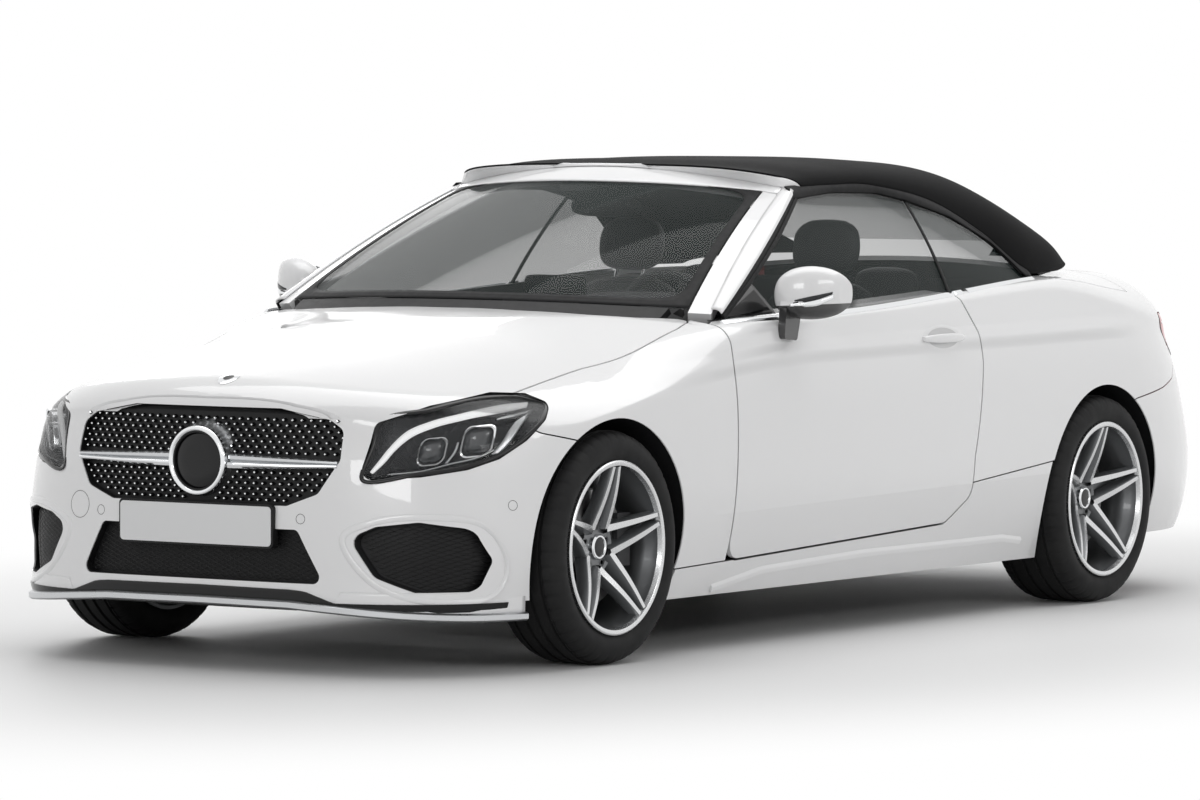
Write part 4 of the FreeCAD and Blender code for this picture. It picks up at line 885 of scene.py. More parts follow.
def roof_grid(back, over):
    """The roof's skin: back runs 0 to 1 from the windscreen to its rear edge, over runs from -1
    at the right edge over 0 at the crown to 1 at the left edge. Each section is half a rounded
    arch from the edge up to the crown, and the cloth dips a little between its bows."""
    edge_x, edge_y, edge_z = (smooth_knots(ROOF_EDGE, back, k) for k in (1, 2, 3))
    crown_y, crown_z = (smooth_knots(ROOF_CROWN, back, k) for k in (1, 2))
    angle = (1 - abs(over)) * np.pi / 2
    share = np.sin(angle) ** 0.8
    x = edge_x * np.maximum(np.cos(angle), 0.0) ** 0.625 * np.sign(over)
    dip = 0.0035 * np.sin(np.pi * np.clip(back / 0.62, 0, 1) * 3) ** 2 * share
    dip = dip - 0.016 * np.clip(1 - back / 0.16, 0, 1) ** 2 * share
    return np.stack([x, edge_y + (crown_y - edge_y) * share, edge_z + (crown_z - edge_z) * share - dip], -1)


def roof_start(over):
    """Where the cloth begins behind the header: further back towards the corners."""
    share = np.clip((abs(over) - 0.45) / 0.5, 0, 1)
    return 0.004 + 0.062 * share**2 * (3 - 2 * share)


class CONVERTIBLE_OT_roof(bpy.types.Operator):
    """Stretches the fabric roof over its bows and sews its seams"""
    bl_idname = "convertible.roof"
    bl_label = "Fabric roof"

    def execute(self, context):
        share, over = np.meshgrid(np.linspace(0, 1, 121), np.linspace(-1, 1, 97), indexing="ij")
        start = roof_start(over)
        grid = roof_grid(start + (1 - start) * share, over)
        form = surface(grid)
        roof = piece("roof_cover", form, "roof_fabric", "body", "roof_fabric", fix=False, smooth=60,
                     replaces=["soft_top"])
        length = np.concatenate([[0], np.cumsum(np.linalg.norm(np.diff(grid[:, 48], axis=0), axis=1))])
        girth = np.concatenate([[0], np.cumsum(np.linalg.norm(np.diff(grid[60], axis=0), axis=1))])
        flat = np.stack(np.meshgrid(length, girth, indexing="ij"), -1).reshape(-1, 2)
        mesh = roof.data
        corner = np.zeros(len(mesh.loops), np.int32)
        mesh.loops.foreach_get("vertex_index", corner)
        mesh.uv_layers.new(name="cut").data.foreach_set("uv", flat[corner].astype(np.float32).ravel())
        cutter = prism_along_y([(-0.400, 1.140), (0.400, 1.140), (0.440, 1.180), (0.400, 1.300),
                                (-0.400, 1.300), (-0.440, 1.180)], 0.78, 2.3)
        hole = roof.modifiers.new("window", "BOOLEAN")
        hole.operation = "DIFFERENCE"
        hole.object = cutter
        wall = roof.modifiers.new("wall", "SOLIDIFY")
        wall.thickness = 0.005
        wall.offset = -1
        apply_modifiers(roof)
        bpy.data.objects.remove(cutter)
        over = np.linspace(-1, 1, 97)
        rear = roof_grid(roof_start(over) + 0.001, over)
        front = screen(np.clip(rear[:, 0] / 0.5354, -1.09, 1.09), np.full(97, 1.050), 0.003)
        share = np.linspace(0, 1, 9)[:, None, None]
        caps = surface(front + (rear - front) * share + 0.003 * np.sin(np.pi * share) * np.array([0, 0, 1]))
        across, up = np.meshgrid(np.linspace(-1.09, 1.09, 73), np.linspace(0, 1, 9), indexing="ij")
        low = 0.915 + 0.070 * np.minimum(across**2, 1)
        strip = screen(across, low + (1.0605 - low) * up, 0.0025 + 0.002 * np.sin(np.pi * up))
        piece("header_strip", surface(strip) + caps, "paint_plain", "body", "paint", thick=0.004, fix=False,
              smooth=60)

        seam = rounded_profile(0.007, 0.003, 2.2, 8)
        lines = EMPTY
        for at in (0.335, 0.53):
            over = np.linspace(-0.985, 0.985, 81)
            path = roof_grid(np.full(81, at), over)
            lines += carry(path, seam, (0, 0.02, 1))
        for sign in (-1, 1):
            run = np.linspace(0.03, 0.985, 81)
            path = roof_grid(run, np.full(81, sign * 0.40))
            lines += carry(path, seam, (0.2 * sign, 0, 1))
            run = np.linspace(0.07, 0.985, 81)
            path = roof_grid(run, np.full(81, sign * 0.985))
            lines += carry(path, rounded_profile(0.010, 0.006, 2.2, 8), (sign, 0, 0.5))
        piece("roof_seams", lines, "roof_fabric", "body", "roof_fabric")

        run = np.linspace(0.0, 0.815, 90)
        high = roof_grid(run, np.full(90, 0.985)) - (0.004, 0, 0.002)
        low_z = np.interp(high[:, 1], [-0.165, 0.03, 0.30, 0.455, 0.672, 0.847, 0.965, 1.02],
                          [1.292, 1.308, 1.305, 1.282, 1.228, 1.146, 1.046, 1.03])
        low = side_window(high[:, 1], low_z, 0.006)
        rail = blended(high, low, 7) + np.array([0.006, 0, 0]) * arch(7)
        piece("roof_rails", surface(rail).both(), "seal", "body", "black_plastic", thick=0.004, fix=False,
              smooth=60)
        return {"FINISHED"}


def apply_modifiers(made):
    """Replaces a piece's mesh by the one its modifiers give."""
    graph = bpy.context.evaluated_depsgraph_get()
    bpy.context.view_layer.update()
    mesh = bpy.data.meshes.new_from_object(made.evaluated_get(graph), preserve_all_data_layers=True,
                                           depsgraph=graph)
    made.modifiers.clear()
    made.data = mesh


def prism_along_y(outline, start, end):
    """A rounded prism along Y that cuts a window, as an object to be removed after use."""
    line = line_through(outline, 60, closed=True)
    grid = np.stack([np.column_stack([line[:, 0], np.full(60, y), line[:, 1]]) for y in (start, end)])
    form = surface(grid, around=True, ends=True)
    mesh = bpy.data.meshes.new("window_cut")
    mesh.from_pydata(form.points.tolist(), [], form.faces)
    shape = bmesh.new()
    shape.from_mesh(mesh)
    bmesh.ops.recalc_face_normals(shape, faces=shape.faces)
    shape.to_mesh(mesh)
    shape.free()
    made = bpy.data.objects.new("window_cut", mesh)
    bpy.context.scene.collection.objects.link(made)
    return made


# Front end

SENSOR_GAP = rounded_profile(0.0014, 0.0014, 2, 6)


class CONVERTIBLE_OT_grille(bpy.types.Operator):
    """Makes the grille's pins, bars and round centre, the intake meshes, plate and sensors"""
    bl_idname = "convertible.grille"
    bl_label = "Grille and intakes"

    def execute(self, context):
        grille = target_of("grille")
        bumper = target_of("front_bumper")
        across = np.arange(-16, 17) * 0.0285
        rows = np.concatenate([0.606 + 0.0150 * np.arange(7), 0.551 - 0.0150 * np.arange(7)])
        x, z = np.meshgrid(across, rows, indexing="ij")
        x = x + 0.01425 * (np.arange(len(rows)) % 2)[None, :]
        low = np.interp(abs(x), [0, 0.30, 0.395, 0.46], [0.474, 0.474, 0.510, 0.600])
        side = 0.446 - 0.6 * np.maximum(z - 0.672, 0)
        keep = (z > low) & (z < 0.697) & (abs(x) < side) & (np.hypot(x, z - 0.578) > 0.108)
        flat = np.stack([x[keep], z[keep]], -1)
        base = laid(flat, FRONT_VIEW, grille)
        wide = np.array([[1, 0], [0, 0.8], [-1, 0], [0, -0.8]])
        rings = np.zeros((len(base), 3, 4, 3))
        for level, (radius, depth) in enumerate(((0.0075, 0.002), (0.0052, -0.011), (0.0034, -0.0135))):
            rings[:, level, :, 0] = base[:, None, 0] + wide[None, :, 0] * radius
            rings[:, level, :, 2] = base[:, None, 2] + wide[None, :, 1] * radius
            rings[:, level, :, 1] = base[:, None, 1] + depth
        count = len(base)
        start = (np.arange(count) * 12)[:, None]
        k = np.arange(4)
        sides = np.stack([k, (k + 1) % 4, (k + 1) % 4 + 4, k + 4], -1)
        black = (start[:, :, None] + sides[None]).reshape(-1, 4)
        bright = (start[:, :, None] + sides[None] + 4).reshape(-1, 4)
        caps = start + np.array([8, 9, 10, 11])
        pins = Form(rings.reshape(-1, 3), np.concatenate([black, bright, caps]).tolist(),
                    [0] * len(black) + [1] * (len(bright) + len(caps)))
        piece("grille_pins", pins, ["gloss_black", "chrome"], "body", "bright_trim", smooth=20)

        angle = np.linspace(0, 2 * np.pi, 73)[:-1][:, None]
        def turned(profile, finish):
            profile = np.asarray(profile, float)
            radius = profile[:, 0]
            grid = np.stack([radius * np.sin(angle),
                             np.broadcast_to(profile[:, 1], (72, len(profile))) - 2.341,
                             radius * np.cos(angle) + 0.578], -1)
            return surface(grid, along=True, finish=finish)
        ring = turned([(0.0805, 0.012), (0.082, 0.000), (0.085, -0.0055), (0.090, -0.0075), (0.095, -0.005),
                       (0.0975, 0.001), (0.098, 0.010)], 0)
        ring += turned([(0.098, 0.009), (0.099, 0.022), (0.104, 0.036), (0.114, 0.052), (0.122, 0.070)], 1)
        ring += turned([(0.0, 0.001), (0.04, 0.0015), (0.07, 0.004), (0.081, 0.009)], 2)
        piece("grille_ring", ring, ["chrome", "satin_silver", "gloss_black"], "body", "bright_trim",
              smooth=50)

        share = np.linspace(0, 1, 37)
        reach = 0.100 + 0.345 * share
        front = laid(np.stack([reach, np.full(37, 0.578)], -1), FRONT_VIEW, grille)
        front[:, 1] -= 0.004
        section = np.array([[0.022, 0.016], [0.006, 0.017], [-0.003, 0.013], [-0.004, 0.006], [0.004, 0.001],
                            [-0.006, -0.001], [-0.012, -0.007], [-0.008, -0.014], [0.006, -0.017],
                            [0.022, -0.015]])
        size = 1.25 - 0.62 * share ** 1.3
        spread = np.stack([np.broadcast_to(front[:, None, 0], (37, 10)),
                           front[:, None, 1] + section[None, :, 0] * np.minimum(size, 1)[:, None],
                           front[:, None, 2] + section[None, :, 1] * size[:, None]], -1)
        tint = np.tile([1, 1, 1, 1, 0, 0, 0, 0, 1, 1], 36).tolist() + [1, 1]
        bars = surface(spread, around=True, ends=True, finish=tint)
        piece("grille_bars", bars.both(), ["chrome", "satin_silver"], "body", "bright_trim", smooth=50)

        for name, outline in (
                ("centre_mesh", [(-0.418, 0.250), (0.418, 0.250), (0.335, 0.398), (-0.335, 0.398)]),
                ("corner_mesh",
                 [(0.489, 0.379), (0.558, 0.273), (0.675, 0.224), (0.772, 0.230), (0.800, 0.318),
                  (0.771, 0.405), (0.663, 0.425), (0.560, 0.412)])):
            low, high = np.min(outline, 0), np.max(outline, 0)
            step, rise = 0.0150, 0.0065
            nx, nz = int((high[0] - low[0]) / step) + 2, int((high[1] - low[1]) / rise) + 2
            i, j = np.meshgrid(np.arange(nx), np.arange(nz), indexing="ij")
            px, pz = low[0] + i * step, low[1] + j * rise
            inside = inside_outline(np.stack([px, pz], -1), np.asarray(outline), 0.006)
            even = (i + j) % 2 == 0
            index = np.arange(nx * nz).reshape(nx, nz)
            left, right = index[:-2, 1:-1], index[2:, 1:-1]
            below, above = index[1:-1, :-2], index[1:-1, 2:]
            whole = (even[:-2, 1:-1] & inside[:-2, 1:-1] & inside[2:, 1:-1] & inside[1:-1, :-2]
                     & inside[1:-1, 2:])
            faces = np.stack([left, below, right, above], -1)[whole]
            used, faces = np.unique(faces, return_inverse=True)
            flat = np.stack([px.ravel(), pz.ravel()], -1)[used]
            points = laid(flat, FRONT_VIEW, target_of("intake_meshes"))
            points[:, 1] -= 0.007
            form = Form(points, faces.reshape(-1, 4).tolist())
            if name == "corner_mesh":
                form = form.both()
            net = piece(name, form, "gloss_black", "body", "black_plastic", smooth=60)
            wires = net.modifiers.new("wires", "WIREFRAME")
            wires.thickness = 0.0022
            wires.use_even_offset = False

        strip = laid_round([(0.0, -2.349), (0.30, -2.343), (0.52, -2.300), (0.66, -2.225), (0.76, -2.100),
                            (0.815, -1.985), (0.845, -1.93)], 0.2005, bumper)
        strip = np.concatenate([strip[::-1] * [-1, 1, 1], strip[1:]])
        strip[:, 2] = np.interp(abs(strip[:, 0]), [0, 0.311, 0.465, 0.619, 0.746, 0.85],
                                [0.194, 0.192, 0.182, 0.171, 0.162, 0.158])
        blade = np.array([[0.010, 0.011], [-0.006, 0.011], [-0.0125, 0.006], [-0.0125, -0.008],
                          [-0.006, -0.013], [0.010, -0.013]])
        foot = strip.copy()
        foot[:, 2] += 0.009
        top = wrapped(strip * [1, 1, 0] + [0, 0, 0.232], bumper)
        top[:, 2] = np.where(abs(strip[:, 0]) < 0.46,
                             foot[:, 2] + 0.002 + 0.27 * np.clip(0.47 - abs(strip[:, 0]), 0, 0.11), 0.232)
        band = blended(foot, top, 6) + np.array([0, -0.0025, 0])
        dark = np.repeat(abs((strip[1:, 0] + strip[:-1, 0]) / 2) < 0.46, 5).astype(int).tolist()
        piece("bumper_foot", surface(band, finish=dark), ["paint_plain", "gloss_black"], "body", "paint",
              thick=0.003, fix=False, smooth=50)
        piece("splitter_strip", carry(strip, blade * [-1, 1], (0, 0, 1)), "satin_silver",
              "body", "bright_trim", smooth=40)

        corners = [(0.474, 0.386), (0.548, 0.262), (0.672, 0.210), (0.784, 0.216), (0.815, 0.318),
                   (0.782, 0.414), (0.664, 0.438), (0.553, 0.424)]
        path = laid(line_through(corners, 120, closed=True), FRONT_VIEW, bumper)
        lip = carry(path, rounded_profile(0.020, 0.007, 2.2, 12), (0, -1, 0), closed=True)
        piece("intake_lips", lip.both(), "paint_plain", "body", "paint", smooth=60)

        rings = EMPTY
        for centre, view, radius in (((0.345, 0.428), FRONT_VIEW, 0.0135),
                                     ((-0.345, 0.428), FRONT_VIEW, 0.0135),
                                     ((-1.997, 0.467), SIDE_VIEW, 0.0135),
                                     ((-0.431, 0.440), FRONT_VIEW, 0.038)):
            path = laid(circle(centre, radius, 32), view, bumper)
            up = (0, -1, 0) if view is FRONT_VIEW else (1, 0, 0)
            rings += carry(path, SENSOR_GAP, up, closed=True)
            if view is SIDE_VIEW:
                rings += carry(path * [-1, 1, 1], SENSOR_GAP, up, closed=True)
        piece("bumper_rings", rings, "seal", "body", "black_plastic")

        outline = rounded_rectangle(0.520, 0.110, 0.012, 10)
        holder = rounded_rectangle(0.532, 0.122, 0.014, 10)
        back = stepped(holder, 0, 0, 0.404, [(1.0, -2.325), (1.0, -2.3475), (0.995, -2.3485)])
        face = stepped(outline, 0, 0, 0.404, [(1.0, -2.3480), (1.0, -2.3505), (0.996, -2.3515)])
        form = surface(back, around=True, ends=True, finish=1) + surface(face, around=True, ends=True)
        piece("number_plate", form, ["plate_white", "black_plastic"], "body", "black_plastic")

        badge = laid(outline_ring(circle((0.008, -2.204), 0.031, 24), 0.0305, 48, 5), TOP_VIEW,
                     target_of("bonnet"), 0.0012)
        height = np.array([0.0, 0.0016, 0.0016, 0.0002, 0.0008])
        badge[..., 2] += height
        ring_tint = np.tile([0, 0, 1, 1], 48).tolist()
        piece("bonnet_badge", surface(badge, along=True, finish=ring_tint), ["chrome", "gloss_black"],
              "bonnet", "bright_trim", fix=False)
        return {"FINISHED"}


def circle(centre, radius, count):
    """Points of a circle, anticlockwise."""
    turn = np.arange(count) * 2 * np.pi / count
    return np.stack([centre[0] + radius * np.cos(turn), centre[1] + radius * np.sin(turn)], -1)


def rounded_rectangle(wide, tall, radius, steps):
    """Corner points of a rectangle with round corners, anticlockwise."""
    turn = np.linspace(0, np.pi / 2, steps)
    corners = [(1, 1, 0), (-1, 1, 1), (-1, -1, 2), (1, -1, 3)]
    return np.concatenate([np.stack([
        a * (wide / 2 - radius) + radius * np.cos(turn + q * np.pi / 2),
        b * (tall / 2 - radius) + radius * np.sin(turn + q * np.pi / 2)], -1) for a, b, q in corners])


def inside_outline(points, outline, margin=0.0):
    """True where a point is inside a convex outline by a margin: it is on the inner side of
    every edge."""
    turn = np.sum(outline[:, 0] * np.roll(outline[:, 1], -1) - np.roll(outline[:, 0], -1) * outline[:, 1])
    edge = np.roll(outline, -1, 0) - outline
    edge /= np.linalg.norm(edge, axis=1)[:, None]
    to = points[..., None, :] - outline
    return np.all((edge[:, 0] * to[..., 1] - edge[:, 1] * to[..., 0]) * np.sign(turn) > margin, -1)


def laid_round(plan, z, target):
    """A line at one height whose plan is moved to the nearest place of a target's skin."""
    line = line_through(plan, 60)
    guide = np.column_stack([line, np.full(len(line), z)])
    found = wrapped(guide, target)
    found[:, 2] = z
    return found


# Lamps

LAMP_LOW = [(-1.075, 0.540), (-0.910, 0.551), (-0.780, 0.570), (-0.690, 0.598), (-0.612, 0.645),
            (-0.552, 0.700), (-0.535, 0.738)]
LAMP_HIGH = [(-1.075, 0.540), (-1.040, 0.640), (-1.026, 0.690), (-0.877, 0.736), (-0.700, 0.768),
             (-0.600, 0.764), (-0.535, 0.738)]
LAMP_EDGE = LAMP_LOW + LAMP_HIGH[-2:0:-1]


class CONVERTIBLE_OT_headlamps(bpy.types.Operator):
    """Makes the headlamps: clear cover, dark bowl, a light guide band with a painted glow, and two projectors
    each
    """
    bl_idname = "convertible.headlamps"
    bl_label = "Headlamps"

    def execute(self, context):
        skin = fitted(LAMP_VIEW, target_of("headlamps"), LAMP_EDGE)
        out = LAMP_VIEW[2]

        def under(flat, depth):
            """A flat drawing laid on the lamp's cover, then sunk along the view."""
            return skin(flat, -depth)

        cover = skin(between(LAMP_LOW, LAMP_HIGH, 61, 13))
        piece("headlamp_covers", surface(cover).both(), "lamp_glass", "body", "lamp_glass", thick=0.0025,
              fix=False, replaces=["headlamps"])

        flat = between(LAMP_LOW, LAMP_HIGH, 61, 13)
        u, v = np.meshgrid(np.linspace(0, 1, 61), np.linspace(0, 1, 13), indexing="ij")
        deep = 0.004 + 0.040 * (np.sin(np.pi * u) * np.sin(np.pi * v)) ** 0.35
        bowl = skin(flat, -deep)
        piece("headlamp_bowls", surface(bowl).both(), "lamp_bowl", "body", "lamp_glass", fix=False)

        rim = skin(outline_ring(LAMP_EDGE, 0.011, 160, 3), 0.0006)
        piece("headlamp_borders", surface(rim, along=True).both(), "gloss_black", "body", "black_plastic",
              thick=0.001, fix=False)

        low = [(-1.036, 0.556), (-1.005, 0.585), (-0.978, 0.616), (-0.930, 0.655), (-0.872, 0.679),
               (-0.790, 0.699), (-0.690, 0.717), (-0.600, 0.731)]
        high = [(-1.046, 0.560), (-1.020, 0.592), (-0.996, 0.622), (-0.942, 0.672), (-0.880, 0.697),
                (-0.790, 0.718), (-0.680, 0.738), (-0.592, 0.744)]
        flat = between(low, high, 60, 5)
        crown = np.array([0.004, 0.0, -0.001, 0.0, 0.004])
        band = under(flat, 0.013) - out * crown[None, :, None]
        piece("headlamp_bands", surface(band).both(), "light_guide", "body", "lamp_glass", thick=0.008,
              fix=False)

        arrow = between([(-0.712, 0.606), (-0.680, 0.640), (-0.660, 0.669), (-0.640, 0.692)],
                        [(-0.690, 0.606), (-0.655, 0.640), (-0.625, 0.678), (-0.585, 0.722)], 24, 4)
        hook = between([(-0.690, 0.700), (-0.650, 0.706), (-0.600, 0.716)],
                       [(-0.690, 0.704), (-0.650, 0.713), (-0.582, 0.726)], 16, 3)
        form = surface(under(arrow, 0.014)) + surface(under(hook, 0.013))
        low_line = between([(-1.000, 0.552), (-0.900, 0.563), (-0.830, 0.580), (-0.740, 0.600),
                            (-0.700, 0.618)],
                           [(-1.000, 0.5555), (-0.900, 0.5665), (-0.830, 0.584), (-0.742, 0.6045),
                            (-0.704, 0.621)], 40, 2)
        form += surface(under(low_line, 0.010))
        slash = between([(-0.842, 0.583), (-0.815, 0.618), (-0.806, 0.640)],
                        [(-0.834, 0.583), (-0.808, 0.618), (-0.801, 0.640)], 16, 2)
        form += surface(under(slash, 0.018))
        piece("headlamp_chevrons", form.both(), "satin_silver", "body", "bright_trim", thick=0.004, fix=False)

        frames = EMPTY
        for centre_t, centre_z, wide, tall in ((-0.876, 0.615, 0.078, 0.076), (-0.748, 0.642, 0.090, 0.086)):
            loop = rounded_rectangle(wide, tall, 0.024, 8)
            skew = loop + np.stack([loop[:, 1] * 0.22, loop[:, 0] * 0.10], -1) + (centre_t, centre_z)
            middle = skin(np.array([centre_t, centre_z]), -0.020)
            plane = seen(LAMP_VIEW, skew, 0.0)
            plane += out * (middle @ out - plane @ out)[:, None]
            heart = plane.mean(0)
            levels = ((1.06, -0.030), (1.06, 0.000), (1.0, 0.004), (0.90, 0.001), (0.86, -0.014))
            grid = np.stack([heart + (plane - heart) * s + out * d for s, d in levels])
            frames += surface(grid, around=True, finish=0)
            dome = np.stack([heart + (plane - heart) * s + out * d for s, d in (
                (0.88, -0.016), (0.70, -0.006), (0.45, 0.000), (0.2, 0.0025), (0.001, 0.003))])
            frames += surface(dome, around=True, finish=1)
        piece("headlamp_projectors", frames.both(), ["chrome", "projector_glass"], "body", "bright_trim",
              smooth=40, fix=False)
        return {"FINISHED"}


TAIL_EDGE = [(0.684, 0.862), (0.712, 0.903), (0.900, 0.902), (1.088, 0.892), (1.108, 0.845), (1.140, 0.790),
             (1.120, 0.768), (1.010, 0.754), (0.850, 0.759), (0.732, 0.802)]


class CONVERTIBLE_OT_rear(bpy.types.Operator):
    """Makes the tail lamps' lines, the diffuser, tailpipes, reflectors and the third brake light"""
    bl_idname = "convertible.rear"
    bl_label = "Rear"

    def execute(self, context):
        skin = fitted(TAIL_VIEW, target_of("tail_lamps"), TAIL_EDGE, 0.012)
        rim = skin(outline_ring(TAIL_EDGE, 0.009, 160, 3), 0.0008)
        piece("tail_lamp_borders", surface(rim, along=True).both(), "seal", "body", "black_plastic",
              thick=0.001, fix=False)
        band = between([(0.760, 0.812), (0.860, 0.785), (1.000, 0.780), (1.105, 0.792)],
                       [(0.772, 0.820), (0.864, 0.794), (1.000, 0.789), (1.100, 0.800)], 60, 4)
        upper = between([(0.735, 0.870), (0.900, 0.868), (1.085, 0.860)],
                        [(0.740, 0.879), (0.900, 0.878), (1.082, 0.869)], 50, 4)
        lines = surface(skin(band, 0.0012)) + surface(skin(upper, 0.0012))
        piece("tail_lamp_lines", lines.both(), "chrome", "body", "bright_trim", thick=0.001, fix=False)

        bumper, lid = target_of("rear_bumper"), target_of("boot_lid")
        flat = between([(-0.62, 0.222), (0.0, 0.216), (0.62, 0.222)],
                       [(-0.52, 0.352), (0.0, 0.356), (0.52, 0.352)], 80, 12)
        panel = laid(flat, BACK_VIEW, bumper)
        panel[:, 1:-1, 1] += 0.004
        piece("diffuser", surface(panel), "black_plastic", "body", "black_plastic", thick=0.003, fix=False)
        fins = EMPTY
        for x in (-0.27, -0.09, 0.09, 0.27):
            line = laid(np.stack([np.full(20, x), np.linspace(0.226, 0.330, 20)], -1), BACK_VIEW, bumper)
            fins += carry(line, rounded_profile(0.010, 0.014, 3, 12), (0, 1, 0))
        piece("diffuser_fins", fins, "black_plastic", "body", "black_plastic")
        edge = laid(np.stack([np.linspace(-0.53, 0.53, 80), np.full(80, 0.357)], -1), BACK_VIEW, bumper)
        piece("diffuser_strip", carry(edge, rounded_profile(0.010, 0.010, 2.5, 12), (0, 0, 1)),
              "satin_silver", "body", "bright_trim")
        pipes = EMPTY
        loop = rounded_rectangle(0.150, 0.062, 0.028, 8)
        for x in (-0.430, 0.430):
            place = laid(loop * [1, 0.6] + [-x, 0.270], BACK_VIEW, bumper)[:, 1][::-1]
            place = (place + place.max()) / 2 + 0.006
            levels = ((0.96, -0.030), (1.0, 0.002), (1.0, 0.007), (0.90, 0.0075), (0.86, 0.002),
                      (0.84, -0.040))
            tint = np.repeat([0, 0, 0, 1, 1], len(loop)).tolist()
            pipes += surface(stepped(loop, x, place, 0.270, levels), around=True, finish=tint)
            back = stepped(loop, x, place, 0.270, ((0.86, -0.004), (0.001, -0.004)))
            pipes += surface(back, around=True, finish=1)
        piece("tailpipes", pipes, ["chrome", "seal"], "body", "bright_trim", fix=False)
        reflector = between([(0.520, 0.398), (0.700, 0.402)], [(0.520, 0.418), (0.700, 0.420)], 24, 4)
        piece("reflectors", surface(laid(reflector, BACK_VIEW, bumper, 0.0015)).mirrored().both(),
              "lamp_red", "body", "lamp_red", thick=0.002, fix=False)
        bar = laid(between([(-0.150, 0.972), (0.150, 0.972)], [(-0.148, 0.982), (0.148, 0.982)], 30, 3),
                   BACK_VIEW, lid, 0.0015)
        piece("third_brake_light", surface(bar), "lamp_red", "boot_lid", "lamp_red", thick=0.002, fix=False)
        across = np.linspace(-0.60, 0.60, 40)[:, None]
        down = np.linspace(0.925, 1.030, 8)[None]
        curtain = np.stack(np.broadcast_arrays(across, 0.905 + 0.35 * (down - 0.925)
                                               + 0.01 * np.cos(across * 14), down), -1)
        piece("roof_well_curtain", surface(curtain), "liner", "body", "cabin_plastic", thick=0.002, fix=False)
        rings = EMPTY
        for x in (-0.60, -0.22, 0.22, 0.60):
            loop = laid(circle((x, 0.500), 0.0135, 32), BACK_VIEW, bumper)
            rings += carry(loop, SENSOR_GAP, (0, 1, 0), closed=True)
        piece("rear_sensor_rings", rings, "seal", "body", "black_plastic")
        return {"FINISHED"}


# Sides: windows, mirrors, handles

def side_window(y, z, out=0.0):
    """The side windows' surface, which leans in above the belt."""
    rise = z - 1.0
    return np.stack([0.812 - 0.5 * rise - 0.55 * rise**2 - 0.035 * ((y - 0.1) / 0.9) ** 2 + out, y, z], -1)


def screen(across, up, out=0.0):
    """The windscreen's surface: across -1 to 1 between its sides, up 0 to 1 from its foot,
    bowed forwards and bulging a little on the way up."""
    flat = 1 - across**2
    foot = np.stack([0.705 * across, -0.911 - 0.175 * flat, 0.981 + 0.019 * flat], -1)
    head = np.stack([0.545 * across, -0.243 - 0.095 * flat, 1.318 + 0.050 * flat], -1)
    belly = 0.018 * 4 * up * (1 - up)
    rest = np.stack([np.zeros_like(belly), -0.5 * belly, 0.85 * belly], -1)
    lift = np.asarray(out)[..., None] * np.array([0, -0.43, 0.9])
    return foot + (head - foot) * up[..., None] + rest + lift


